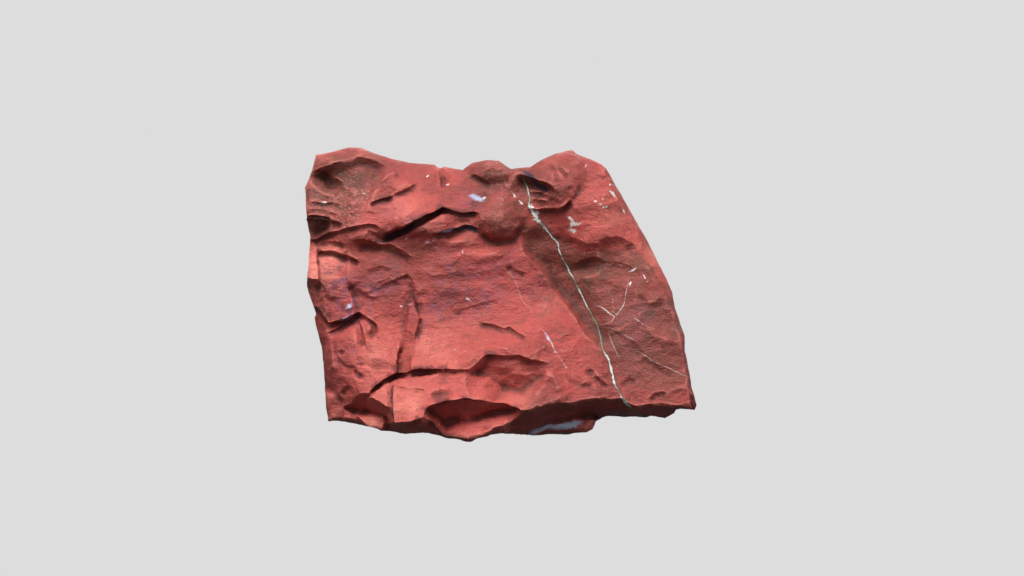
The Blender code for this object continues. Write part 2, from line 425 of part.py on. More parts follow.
def right_side(r):
    """The valley beside the slab, the face right of it and its soft breaks."""
    r.ledge([(23.4, 49.8), (26.0, 51.6), (28.4, 52.4), (31.3, 52.2), (33.9, 51.2), (36.2, 48.4)],
            2.4, 9.0, "right", 3.2)
    r.lump((22.6, 44.6), (5.4, 2.6), -1.4, 8, 1.6)
    r.ledge([(14.8, 55.4), (18.0, 52.4), (22.6, 50.8), (25.6, 51.4)], 1.4, 8.0, "right", 3.0)
    r.ledge([(25.0, 46.8), (31.0, 46.0), (37.0, 43.4)], 1.0, 5.0, "right", 1.8)
    border = [(28.0, 71.0), (31.3, 61.1), (35.0, 54.7), (37.1, 48.1), (39.9, 42.3), (42.4, 38.0),
              (44.6, 33.0),
              (46.4, 26.0), (47.4, 20.0), (49.0, 12.0)]
    i = r.near(border, 6.0)
    away, left, _ = locate(border, r.x[i], r.w[i])
    r.h[i] -= np.where(left > 0.0, 0.9 * away, 0.0)
    r.ledge([(35.6, 38.0), (38.4, 35.8), (42.4, 36.6)], 0.8, 4.0, "right", 1.4)
    r.ledge([(27.4, 29.6), (31.9, 27.4), (35.0, 25.7), (37.6, 21.6), (42.8, 19.0), (48.3, 16.2)],
            0.6, 5.0, "right", 1.4)
    r.ledge([(22.4, 19.2), (25.2, 16.5), (28.6, 14.0)], 1.1, 3.0, "right", 0.8)
    r.ledge([(18.0, 16.2), (21.0, 14.6), (24.0, 14.8)], 0.6, 2.4, "right", 0.8)
    r.ledge([(30.1, 14.7), (33.0, 16.3), (35.4, 15.4)], 0.8, 2.6, "right", 0.8)
    r.ledge([(37.8, 10.6), (40.0, 12.0), (43.0, 12.4)], 1.1, 2.8, "right", 0.9)
    r.fold([(36.0, 31.0), (41.0, 27.0), (46.0, 25.6)], 0.6, 1.8)
    r.fold([(28.0, 41.0), (33.0, 34.0), (39.0, 31.4)], -0.6, 2.2)


def bottom_right(r):
    """The rim that runs from the scars to the right corner, and the tongue under it."""
    r.underside([(1.5, 6.4), (4.9, 7.0), (8.1, 7.5), (11.7, 8.8), (15.0, 9.5), (25.0, 10.5), (31.2, 10.8),
                 (35.0, 9.2), (41.7, 9.8), (47.4, 7.9), (50.6, 7.0)], 60)
    r.fold([(37.6, 8.8), (41.6, 8.2), (46.4, 7.6)], 1.4, 1.0)
    r.build_up([(4.0, 2.4), (10.0, 4.3), (15.7, 4.9), (21.4, 5.4), (25.2, 5.0), (25.6, 1.0), (22.0, 0.0),
                (4.0, 0.0)], (15, 3), 10.8, 0, -2, 3.0)


def broken_skin(r, x, w):
    """The fine break: shell scars, ripples that run across, and a rounded outer edge."""
    flat = np.stack([x.ravel(), w.ravel(), np.zeros(x.size)], axis=1)
    along, across = flat[:, 0] * 0.96 + flat[:, 1] * 0.28, flat[:, 1] * 0.96 - flat[:, 0] * 0.28
    turned = np.stack([along * 0.5, across, flat[:, 2]], axis=1)
    rough = smoothstep(-0.5, 0.6, layered_noise(flat, 17.0, 2, 71))
    skin = (0.35 + 0.65 * rough) * (1.5 * shells(turned, 8.0, 81) + 0.5 * shells(turned, 3.2, 91))
    skin += 0.3 * layered_noise(flat, 9.0, 2, 23) + 0.08 * layered_noise(turned, 1.3, 2, 41)
    r.h += skin.reshape(r.x.shape) - 0.6
    border = depth_inside(TOP_EDGE[:-1] + RIGHT_EDGE[:-1] + BOTTOM_EDGE[:-1] + LEFT_EDGE[:-1], x, w)
    worn = np.clip(1.0 - border / 1.6, 0.0, 1.0)
    r.h -= 1.3 * worn**2


def front_height(x, w):
    r = Relief(x, w)
    large_forms(r)
    top_left(r)
    brow(r)
    lumps(r)
    slab(r)
    left_blocks(r)
    lower_left(r)
    shelf(r)
    right_side(r)
    bottom_right(r)
    broken_skin(r, x, w)
    return r.h


def walk(points, count):
    """Evenly spaced points along an open line."""
    points = np.asarray(points, float)
    run = np.concatenate([[0.0], np.cumsum(np.hypot(*np.diff(points, axis=0).T))])
    at = np.linspace(0.0, run[-1], count + 1)
    return np.stack([np.interp(at, run, points[:, 0]), np.interp(at, run, points[:, 1])], axis=1)


def front_grid(columns, rows):
    """Points across and up that fill the outline, from its lower left corner."""
    bottom = walk(BOTTOM_EDGE[::-1], columns)[None, :, :]
    top = walk(TOP_EDGE, columns)[None, :, :]
    left = walk(LEFT_EDGE, rows)[:, None, :]
    right = walk(RIGHT_EDGE[::-1], rows)[:, None, :]
    s = np.linspace(0.0, 1.0, columns + 1)[None, :, None]
    t = np.linspace(0.0, 1.0, rows + 1)[:, None, None]
    corners = (1 - s) * (1 - t) * bottom[:, :1] + s * (1 - t) * bottom[:, -1:]
    corners = corners + (1 - s) * t * top[:, :1] + s * t * top[:, -1:]
    return (1 - t) * bottom + t * top + (1 - s) * left + s * right - corners


def place(x, w, h):
    """The point in space that the viewer sees at x, w and that stands h toward the viewer."""
    nearer = 1.0 - h / VIEW_DISTANCE
    across = VIEW_AIM[0] + (x - VIEW_AIM[0]) * nearer
    up = VIEW_AIM[1] + (w - VIEW_AIM[1]) * nearer
    sine, cosine = math.sin(VIEW_TILT), math.cos(VIEW_TILT)
    y = up * sine - h * cosine
    z = up * cosine + (h - FOOT_REACH) * sine
    return np.stack([across, y, z], axis=-1)


# Flat breaks on the sides and back: the way each faces (degrees round from +X, degrees up) and its
# distance from the heart of the stone.
BREAKS = [
    (86, 6, 21.5), (104, 20, 23.0), (64, 18, 28.5), (58, -16, 33.0), (132, -4, 34.5), (124, 26, 31.5),
    (12, 21, 36.5), (38, 10, 38.0), (20, -12, 45.0), (172, 2, 47.0), (152, 12, 43.5), (158, -22, 45.5),
    (90, 60, 30.5), (58, 62, 31.5), (126, 64, 32.5), (160, 52, 39.0), (24, 50, 34.5),
    (0, -73, 42.8), (180, -72, 44.0), (95, -50, 42.0),
]
# Shell-shaped scars: the way to each one's deepest point, its distance from the heart and its radius.
SCARS = [
    (98, 34, 25.5, 22.0), (74, -4, 23.0, 26.0), (140, 4, 36.0, 24.0), (112, -20, 26.5, 24.0),
    (8, 0, 40.5, 26.0), (30, 34, 34.0, 22.0), (170, 14, 45.0, 24.0), (148, 40, 37.5, 22.0),
    (76, 72, 30.5, 24.0), (140, 72, 33.5, 26.0), (176, -30, 49.0, 20.0), (38, -16, 41.0, 24.0),
]


def facing(around, up):
    around, up = math.radians(around), math.radians(up)
    return np.array([math.cos(up) * math.cos(around), math.cos(up) * math.sin(around), math.sin(up)])


def break_back(points, worn):
    """Draws the sides and back in toward the heart, to flat breaks, scars and fine roughness."""
    spoke = points - HEART
    reach = np.linalg.norm(spoke, axis=1)
    way = spoke / reach[:, None]
    kept = reach.copy()
    for around, up, distance in BREAKS:
        ahead = way @ facing(around, up)
        kept = np.where(ahead > 0.05, np.minimum(kept, distance / np.maximum(ahead, 0.05)), kept)
    for around, up, deepest, radius in SCARS:
        ahead = way @ facing(around, up) * (deepest + radius)
        hit = ahead**2 - (deepest + radius) ** 2 + radius**2
        entry = ahead - np.sqrt(np.clip(hit, 0.0, None))
        kept = np.where((hit > 0.0) & (ahead > 0.0), np.minimum(kept, entry), kept)
    rough = 0.7 * layered_noise(points, 11.0, 4, 51)
    rough = rough + 0.5 * layered_noise(points * (0.5, 1.0, 1.3), 4.0, 3, 61)
    kept = kept + rough
    return HEART + way * (reach + (kept - reach) * worn)[:, None]


def smoothed(values, half):
    """The mean of each value round a closed loop and its neighbours, half of them on each side."""
    return sum(np.roll(values, k, axis=0) for k in range(-half, half + 1)) / (2 * half + 1)


def loop_of(index):
    return np.concatenate([index[0, :], index[1:, -1], index[-1, -2::-1], index[-2:0:-1, 0]])


def taper(places):
    """How far the sides draw in by the back, as a share: none upward at the foot, so that it stays broad."""
    upward = SIDE_TAPER * smoothstep(0.0, 45.0, places[..., 1])
    return np.stack([np.full(upward.shape, SIDE_TAPER), upward], axis=-1)


def stone_shell(columns, rows, layers):
    """Vertices and faces of the whole stone as one closed box of grids."""
    flat = front_grid(columns, rows)
    height = front_height(flat[..., 0], flat[..., 1])
    index = np.arange(height.size).reshape(height.shape)
    rim = loop_of(index)
    high = smoothstep(0.0, 80.0, flat[..., 1])
    floor = -(DEPTH_AT_FOOT - FOOT_REACH) * (1.0 - high) - (DEPTH_AT_TOP - FOOT_REACH) * high
    middle = np.array(VIEW_AIM)
    back = middle + (flat - middle) * (1.0 - taper(flat))
    rim_flat = flat.reshape(-1, 2)[rim]
    rim_height = height.reshape(-1)[rim]
    rim_floor = floor.reshape(-1)[rim]
    even_flat = smoothed(rim_flat, columns // 16)
    even_height = smoothed(rim_height, columns // 10)
    vertices = [place(flat[..., 0], flat[..., 1], height).reshape(-1, 3)]
    worn = [np.zeros(index.size)]
    loops = [rim]
    total = index.size
    for layer in range(1, layers):
        t = (layer / layers) ** 1.25
        even = float(smoothstep(0.0, 0.4, t))
        outline = rim_flat + (even_flat - rim_flat) * even
        inset = middle + (outline - middle) * (1.0 - taper(outline) * t)
        start = rim_height + (even_height - rim_height) * even
        vertices.append(place(inset[:, 0], inset[:, 1], start + (rim_floor - start) * t))
        worn.append(np.full(len(rim), float(smoothstep(0.0, 0.22, t))))
        loops.append(np.arange(total, total + len(rim)))
        total += len(rim)
    vertices.append(place(back[..., 0], back[..., 1], floor).reshape(-1, 3))
    worn.append(np.ones(index.size))
    loops.append(loop_of(index + total))
    points = break_back(np.concatenate(vertices), np.concatenate(worn))
    low = points[:, 2] < -FOOT_SPARE
    spoke = points[low] - HEART
    points[low] = HEART + spoke * ((HEART[2] + FOOT_SPARE) / -spoke[:, 2])[:, None]
    faces = [quads(index), quads(index + total)[:, ::-1]]
    for near, far in zip(loops, loops[1:]):
        faces.append(np.stack([np.roll(near, -1), near, far, np.roll(far, -1)], axis=1))
    return points, np.concatenate(faces)


def quads(index):
    corners = [index[:-1, :-1], index[:-1, 1:], index[1:, 1:], index[1:, :-1]]
    return np.stack([corner.ravel() for corner in corners], axis=1)


def chert_material():
    material = bpy.data.materials.new("chert")
    material.use_nodes = True
    shader = material.node_tree.nodes["Principled BSDF"]
    shader.inputs["Base Color"].default_value = (0.36, 0.065, 0.05, 1.0)
    shader.inputs["Roughness"].default_value = 0.55
    shader.inputs["Metallic"].default_value = 0.0
    return material


def foot_cutter():
    """A slab under the ground: what reaches into it comes off, which leaves the foot flat."""
    bpy.ops.mesh.primitive_cube_add(size=0.2, location=(0.0, 0.0, -0.1))
    cutter = bpy.context.object
    cutter.name = "foot_cutter"
    cutter.hide_render = True
    cutter.display_type = "WIRE"
    return cutter


def build_stone():
    points, faces = stone_shell(FRONT_COLUMNS, FRONT_ROWS, SIDE_LAYERS)
    points[:, :2] -= (points.min(axis=0) + points.max(axis=0))[:2] / 2.0
    mesh = bpy.data.meshes.new("chert_stone")
    mesh.from_pydata((points * 0.001).tolist(), [], faces.tolist())
    mesh.materials.append(chert_material())
    stone = bpy.data.objects.new("chert_stone", mesh)
    bpy.context.scene.collection.objects.link(stone)
    thin = stone.modifiers.new("Thin", "DECIMATE")
    thin.ratio = TRIANGLES / (2 * len(faces))
    level = stone.modifiers.new("Level foot", "BOOLEAN")
    level.operation = "DIFFERENCE"
    level.object = foot_cutter()


def main():
    for thing in list(bpy.data.objects):
        bpy.data.objects.remove(thing)
    build_stone()


if __name__ == "__main__":
    main()
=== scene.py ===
import itertools
import math

import bpy
import numpy as np
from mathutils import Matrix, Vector


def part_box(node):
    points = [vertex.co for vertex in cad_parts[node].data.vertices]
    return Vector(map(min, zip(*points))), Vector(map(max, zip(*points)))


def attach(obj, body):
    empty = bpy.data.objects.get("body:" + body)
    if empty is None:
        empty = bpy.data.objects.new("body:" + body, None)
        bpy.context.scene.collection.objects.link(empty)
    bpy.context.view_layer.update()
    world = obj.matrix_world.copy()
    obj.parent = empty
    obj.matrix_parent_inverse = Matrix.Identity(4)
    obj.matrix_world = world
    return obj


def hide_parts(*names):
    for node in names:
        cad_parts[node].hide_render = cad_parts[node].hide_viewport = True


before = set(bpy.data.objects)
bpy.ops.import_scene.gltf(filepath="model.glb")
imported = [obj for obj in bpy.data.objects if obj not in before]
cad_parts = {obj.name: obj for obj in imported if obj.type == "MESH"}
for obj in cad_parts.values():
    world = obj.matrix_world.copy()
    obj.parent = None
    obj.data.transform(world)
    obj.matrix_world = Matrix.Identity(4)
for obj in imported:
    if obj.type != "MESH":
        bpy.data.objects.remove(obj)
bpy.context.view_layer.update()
cadLow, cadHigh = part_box("chert_stone")

# The whole stone: its depth, how it is seen, and how fine its mesh is.
stone = {
    "depthAtFoot": 52.0,
    "depthAtTop": 38.0,
    "viewTilt": math.radians(6.0),
    "viewDistance": 497.0,
    "viewAim": (2.9, 39.5),
    "footReach": 9.0,
    "footSpare": 0.0,
    "sideTaper": 0.15,
    "heart": np.array([-1.0, 13.0, 36.0]),
    "columns": 300,
    "rows": 222,
    "layers": 44,
    "triangles": 190000,
    "sharpAngle": math.radians(50.0),
    "ridgeRounds": 4,
}

# The outline as the viewer sees it, across and up, clockwise in four runs between its corners.
topEdge = [
    (-48.4, 74.4), (-44.2, 75.2), (-39.6, 76.5), (-36.0, 76.3), (-33.4, 75.2), (-28.2, 73.4),
    (-23.7, 72.4), (-17.2, 72.0), (-15.9, 70.9), (-14.9, 71.5), (-10.0, 70.5), (-7.7, 72.4),
    (-3.8, 73.2), (-0.3, 72.9), (2.7, 70.8), (7.5, 71.3), (10.8, 73.4), (14.1, 74.8),
    (18.6, 75.9), (19.9, 74.7), (23.2, 73.5), (26.4, 71.8), (27.7, 70.8),
]
rightEdge = [
    (27.7, 70.8), (29.7, 67.2), (34.9, 58.1), (39.4, 50.0), (42.0, 44.8), (45.0, 38.3),
    (45.6, 34.4), (48.1, 27.2), (48.3, 23.3), (49.6, 16.5), (50.0, 13.5), (51.3, 9.0),
]
bottomEdge = [
    (51.3, 9.0), (50.6, 7.5), (45.9, 7.8), (45.3, 6.7), (42.7, 5.3), (40.1, 6.1), (36.8, 5.7),
    (33.6, 6.7), (30.3, 6.7), (25.4, 5.4), (24.1, 2.5), (22.5, 1.6), (12.8, 1.8), (8.5, 0.9),
    (3.6, 1.4), (-1.6, 2.1), (-4.8, 0.5), (-8.1, 0.0), (-13.3, 0.7), (-19.8, 1.8), (-25.0, 1.2),
    (-30.5, 2.3), (-39.3, 4.6), (-45.2, 4.6),
]
leftEdge = [
    (-45.2, 4.6), (-45.8, 8.3), (-46.1, 13.5), (-46.8, 23.3), (-48.9, 31.8), (-48.4, 32.7),
    (-50.4, 38.3), (-50.8, 40.9), (-50.0, 51.3), (-50.0, 53.2), (-50.7, 56.5), (-51.3, 65.6),
    (-49.4, 70.1), (-48.4, 74.4),
]


def smoothstep(low, high, value):
    t = np.clip((value - low) / (high - low), 0.0, 1.0)
    return t * t * (3.0 - 2.0 * t)


# 1 along the middle of a line and 0 at both of its ends.
def endFade(along, ends):
    return smoothstep(0.0, ends, along) * smoothstep(0.0, ends, 1.0 - along)


def grade(degrees):
    return math.tan(math.radians(degrees))


# A fixed random value from 0 to 1 for each whole-numbered cell of space.
def chance(cells, seed):
    mixed = cells[:, 0] * 73856093 ^ cells[:, 1] * 19349663 ^ cells[:, 2] * 83492791 ^ seed * 2654435
    mixed = (mixed ^ (mixed >> 13)) * 1274126177 & 0x7FFFFFFF
    mixed = (mixed ^ (mixed >> 16)) * 668265263 & 0x7FFFFFFF
    return mixed / 0x7FFFFFFF


# Smooth random values from -1 to 1, one cell of the noise a unit.
def noise(places, seed):
    cell = np.floor(places).astype(np.int64)
    part = places - cell
    part = part * part * (3.0 - 2.0 * part)
    total = np.zeros(len(places))
    for corner in itertools.product((0, 1), repeat=3):
        total += np.prod(np.where(corner, part, 1.0 - part), axis=1) * chance(cell + corner, seed)
    return total * 2.0 - 1.0


# Noise of the given size with finer layers on it, each half as strong.
def layeredNoise(places, size, layers, seed):
    total = np.zeros(len(places))
    for layer in range(layers):
        total += noise(places * (2.0**layer / size), seed + layer) / 2.0**layer
    return total


# Bowls that meet in crisp ridges, as where small flakes came off: 0 in a bowl, near 0.5 on a ridge.
def shells(places, size, seed):
    warp = np.stack([noise(places / size, seed + k) for k in (1, 2, 3)], axis=1)
    places = places / size + 0.3 * warp
    cell = np.floor(places).astype(np.int64)
    lowest = np.full(len(places), 9.0)
    for step in itertools.product((-1, 0, 1), repeat=3):
        at = cell + step
        middle = at + np.stack([chance(at, seed + k) for k in (4, 5, 6)], axis=1)
        lowest = np.minimum(lowest, ((places - middle) ** 2).sum(axis=1) + 0.5 * chance(at, seed + 7))
    return lowest


# Distance to a path, which side of it (+1 on its left) and how far along it, from 0 to 1.
def locate(path, x, w):
    path = np.asarray(path, float)
    step = path[1:] - path[:-1]
    length = np.hypot(*step.T)
    start = np.concatenate([[0.0], np.cumsum(length)])
    nearest = np.full(x.shape, 1e9)
    side = np.ones(x.shape)
    along = np.zeros(x.shape)
    for (ax, aw), (sx, sw), run, before in zip(path, step, length, start):
        t = np.clip(((x - ax) * sx + (w - aw) * sw) / run**2, 0.0, 1.0)
        away = np.hypot(x - ax - t * sx, w - aw - t * sw)
        cross = (sx * (w - aw) - sw * (x - ax)) / run
        take = away - 1e-4 * np.abs(cross) < nearest
        nearest = np.where(take, away, nearest)
        side = np.where(take, np.where(cross >= 0.0, 1.0, -1.0), side)
        along = np.where(take, (before + t * run) / start[-1], along)
    return nearest, side, along


# Distance to a closed outline, positive inside it.
def depthInside(outline, x, w):
    outline = np.asarray(outline, float)
    nearest = np.full(x.shape, 1e9)
    odd = np.zeros(x.shape, bool)
    for (ax, aw), (bx, bw) in zip(outline, np.roll(outline, -1, 0)):
        sx, sw = bx - ax, bw - aw
        t = np.clip(((x - ax) * sx + (w - aw) * sw) / (sx * sx + sw * sw), 0.0, 1.0)
        nearest = np.minimum(nearest, np.hypot(x - ax - t * sx, w - aw - t * sw))
        if sw:
            odd ^= ((aw > w) != (bw > w)) & (x < ax + (w - aw) * sx / sw)
    return np.where(odd, nearest, -nearest)


# Height toward the viewer over points across (x) and up (w), which wander from a straight grid.
class Relief:
    def __init__(self, x, w):
        flat = np.stack([x.ravel(), w.ravel(), np.zeros(x.size)], axis=1)
        wander = [0.55 * layeredNoise(flat, 6.0, 3, seed).reshape(x.shape) for seed in (301, 311)]
        self.x = x + wander[0]
        self.w = w + wander[1]
        self.vary = noise(flat / 4.5, 321).reshape(x.shape)
        self.h = np.zeros(x.shape)

    def near(self, points, reach):
        low = np.min(points, axis=0) - reach
        high = np.max(points, axis=0) + reach
        across = (self.x > low[0]) & (self.x < high[0])
        return np.nonzero(across & (self.w > low[1]) & (self.w < high[1]))

    # A sloping plane: up is how far it leans back, right how far it turns to the right.
    def plane(self, i, at, level, up, right):
        return level - grade(right) * (self.x[i] - at[0]) - grade(up) * (self.w[i] - at[1])

    # The large forms: a blend of sloping planes, each strongest at its own place.
    def masses(self, masses):
        total = np.zeros(self.x.shape)
        share = np.full(self.x.shape, 1e-12)
        everywhere = np.nonzero(np.ones(self.x.shape, bool))
        for at, level, up, right, size in masses:
            pull = np.exp(-((self.x - at[0]) ** 2 + (self.w - at[1]) ** 2) / (2.0 * size**2))
            total += pull * self.plane(everywhere, at, level, up, right).reshape(self.x.shape)
            share += pull
        self.h += total / share

    # A step down along the path on its low side, which climbs back over its reach.
    def ledge(self, path, drop, reach, low, wall=0.5, lip=0.0, ends=0.2, fall=1.5):
        i = self.near(path, reach)
        away, side, along = locate(path, self.x[i], self.w[i])
        below = side * (1.0 if low == "left" else -1.0) > 0.0
        taper = endFade(along, ends)
        fade = np.clip(1.0 - away / reach, 0.0, 1.0) ** fall
        wide = wall * (1.0 + 0.4 * self.vary[i])
        step = drop * (1.0 + 0.35 * self.vary[i]) * smoothstep(-0.2, 1.0, away / wide) * fade
        edge = lip * np.exp(-away / 1.2) * (1.0 - away / reach).clip(0.0)
        self.h[i] += taper * np.where(below, edge * np.clip(1.0 - away / wall, 0.0, 1.0) - step, edge)

    # A rounded ridge along the path, or a groove where lift is negative.
    def fold(self, path, lift, width, ends=0.3):
        i = self.near(path, 3.0 * width)
        away, _, along = locate(path, self.x[i], self.w[i])
        taper = endFade(along, ends)
        self.h[i] += lift * np.exp(-((away / width) ** 2)) * taper

    def crack(self, path, depth, width=0.45, ends=0.2):
        i = self.near(path, width)
        away, _, along = locate(path, self.x[i], self.w[i])
        taper = endFade(along, ends)
        self.h[i] -= depth * np.clip(1.0 - away / width, 0.0, 1.0) * taper

    # A steep-sided slot of the given half width, which narrows to its ends.
    def trench(self, path, depth, width, ends=0.15):
        i = self.near(path, width)
        away, _, along = locate(path, self.x[i], self.w[i])
        taper = endFade(along, ends)
        wide = width * (0.3 + 0.7 * taper)
        self.h[i] -= depth * taper * smoothstep(0.0, 0.6, 1.0 - away / wide)

    # A rounded lump, or a bowl where lift is negative. A lower crisp gives a sharper rim.
    def lump(self, at, size, lift, turn=0.0, crisp=1.0):
        i = self.near([at], max(size))
        c, s = math.cos(math.radians(turn)), math.sin(math.radians(turn))
        dx, dw = self.x[i] - at[0], self.w[i] - at[1]
        inner = 1.0 - ((c * dx + s * dw) / size[0]) ** 2 - ((c * dw - s * dx) / size[1]) ** 2
        self.h[i] += lift * np.clip(inner, 0.0, 1.0) ** crisp

    # A flat break: inside the outline the surface is this plane.
    def plate(self, outline, at, level, up, right, edge=0.5):
        i = self.near(outline, 0.0)
        share = np.clip(depthInside(outline, self.x[i], self.w[i]) / edge, 0.0, 1.0)
        self.h[i] += share * (self.plane(i, at, level, up, right) - self.h[i])

    # A flat break that only takes away, with a sloping wall around its outline.
    def cut(self, outline, at, level, up, right, wall=1.6):
        i = self.near(outline, 6.0)
        outside = np.clip(-depthInside(outline, self.x[i], self.w[i]), 0.0, None)
        self.h[i] = np.minimum(self.h[i], self.plane(i, at, level, up, right) + wall * outside)

    # A block that stands out to a sloping plane, with a falling wall around its outline.
    def buildUp(self, outline, at, level, up, right, wall=2.5):
        i = self.near(outline, 4.0)
        outside = np.clip(-depthInside(outline, self.x[i], self.w[i]), 0.0, None)
        self.h[i] = np.maximum(self.h[i], self.plane(i, at, level, up, right) - wall * outside)

    # Below the rim the surface falls back under the stone.
    def underside(self, rim, angle):
        path = np.asarray(rim, float)
        rimW = np.interp(self.x, path[:, 0], path[:, 1])
        inside = (self.x > path[0, 0]) & (self.x < path[-1, 0])
        drop = np.clip(rimW - self.w, 0.0, None) * grade(angle)
        ends = np.minimum(self.x - path[0, 0], path[-1, 0] - self.x).clip(0.0)
        self.h -= np.where(inside, drop * np.clip(ends / 1.5, 0.0, 1.0), 0.0)


# Each mass: its place, height, lean back, turn to the right (degrees) and how far it holds sway.
def largeForms(r):
    r.masses([
        ((-40, 75), 5.5, 52, -4, 3.5), ((-47, 69), 7.5, 6, -14, 4.0), ((-38, 67), 8.0, 6, 0, 5.0),
        ((-27, 71), 5.8, 42, 0, 4.5), ((-30, 63), 10.4, 32, 0, 4.5), ((-20, 63), 11.2, 31, 0, 4.5),
        ((-46, 60), 9.5, 6, -10, 4.0), ((-36, 57), 12.0, 20, -4, 3.5), ((-12, 66), 9.4, 28, 0, 4.5),
        ((-4, 70), 8.5, 14, 0, 4.0), ((-5, 62), 11.6, 14, 0, 4.0), ((13, 70), 9.5, 22, 0, 4.5),
        ((8, 63), 9.5, 2, 0, 3.5), ((25, 66), 9.5, 22, 14, 6.0), ((33, 56), 6.0, 18, 28, 5.0),
        ((24, 56), 10.5, 8, 6, 5.0), ((14, 51), 7.5, 0, -2, 4.0), ((19, 42), 6.2, -8, -8, 4.0),
        ((30, 45), 7.5, -8, 4, 5.0), ((25, 33), 8.2, -6, -10, 4.0), ((33, 36), 10.0, -6, -2, 6.0),
        ((42, 36), 8.0, -4, 14, 5.0), ((33, 24), 12.0, -2, -2, 6.0), ((44, 20), 11.5, 2, 10, 6.0),
        ((35, 14), 14.0, 14, 0, 4.5), ((48, 12), 12.0, 8, 12, 3.5),
        ((-12, 46), 11.4, 4, 4, 5.0), ((1, 47), 11.0, 4, 2, 5.0), ((-12, 36), 12.0, 4, 2, 5.0),
        ((3, 37), 11.8, 8, 4, 5.0), ((10, 38), 9.8, 8, 20, 4.0), ((-12, 24), 16.0, 31, -2, 5.0),
        ((3, 25), 16.0, 27, 2, 5.0), ((13, 29), 13.2, 16, 20, 4.0), ((19, 22), 14.4, 14, 16, 4.5),
        ((10, 14), 18.5, 8, 2, 5.0), ((22, 14), 16.0, 12, 6, 4.5),
        ((-20, 14), 20.0, 30, -4, 4.5), ((-8, 14), 20.5, 28, 0, 4.5), ((3, 12), 20.0, 16, 0, 4.5),
        ((-45, 44), 9.4, 14, -8, 4.0), ((-36, 44), 9.8, 8, 0, 5.0), ((-27, 38), 11.0, 10, 4, 5.0),
        ((-27, 48), 10.8, 8, 2, 4.0),
        ((-31, 26), 13.5, 28, 2, 5.0), ((-39, 22), 12.0, 14, -14, 4.5), ((-33, 14), 17.0, 32, -6, 4.0),
        ((-44, 36), 9.0, 2, -16, 3.5), ((-44, 10), 8.5, 6, -16, 4.0), ((-35, 5), 11.0, 4, -6, 4.0),
    ])


# The hollow under the top left corner, its ribs, and the crumpled edge below it.
def topLeft(r):
    r.ledge([(-49.0, 68.6), (-47.2, 70.0), (-42.5, 72.3), (-37.0, 73.5), (-32.6, 73.1), (-28.6, 70.8)],
            3.4, 11.0, "right", wall=3.4, ends=0.15, fall=0.9)
    r.lump((-45.8, 66.8), (4.6, 2.6), -2.4, -24, 1.3)
    r.fold([(-36.8, 60.0), (-32.8, 64.2), (-29.4, 68.4), (-25.0, 70.6)], 1.1, 1.5)
    r.fold([(-28.6, 64.4), (-26.0, 65.8), (-22.4, 67.4)], 1.2, 1.2)
    r.ledge([(-31.4, 62.5), (-28.4, 63.3), (-25.4, 64.8), (-22.6, 66.3), (-20.4, 67.5)], 0.8, 2.4,
            "right", wall=0.8, lip=0.4, ends=0.25)
    r.ledge([(-35.0, 61.0), (-32.5, 62.1), (-30.4, 62.9), (-28.2, 63.3)], 1.9, 2.6, "right",
            wall=0.8, lip=0.4)
    r.fold([(-36.4, 60.2), (-32.0, 60.6), (-27.0, 62.2)], 0.6, 1.0)
    r.fold([(-31.0, 65.6), (-27.0, 68.0), (-22.0, 69.4)], 0.8, 1.4)
    r.ledge([(-33.8, 66.0), (-31.4, 67.0), (-29.0, 69.2), (-25.6, 70.8)], 1.2, 3.4, "right", wall=1.0)
    r.fold([(-43.6, 63.8), (-40.0, 62.6), (-37.6, 60.6)], 0.8, 1.0)
    r.fold([(-42.4, 66.4), (-39.0, 64.6), (-36.8, 63.0)], 0.6, 0.8)
    r.ledge([(-52.0, 57.4), (-46.5, 57.2), (-43.6, 56.6), (-41.6, 55.8)], 1.6, 4.0, "right",
            wall=0.9, ends=0.02)
    r.cut([(-52.5, 56.8), (-47.4, 56.7), (-45.6, 56.2), (-46.0, 55.0), (-48.2, 54.2), (-52.5, 54.0)],
          (-48, 55.6), 4.4, -20, -14, 3.4)
    r.ledge([(-51, 61.6), (-47.5, 61.2), (-44.0, 62.0), (-40.6, 60.8)], 1.0, 2.2, "right", wall=0.7)
    r.ledge([(-51, 59.4), (-46.0, 59.8), (-42.0, 58.6)], 0.9, 1.8, "right", wall=0.6)
    r.ledge([(-40.6, 58.6), (-37.0, 59.6), (-33.0, 58.6)], 0.7, 2.2, "right", wall=0.8)
    r.ledge([(-15.9, 72.0), (-15.7, 68.0), (-15.9, 64.6)], 1.1, 4.0, "left", wall=0.4, ends=0.3)


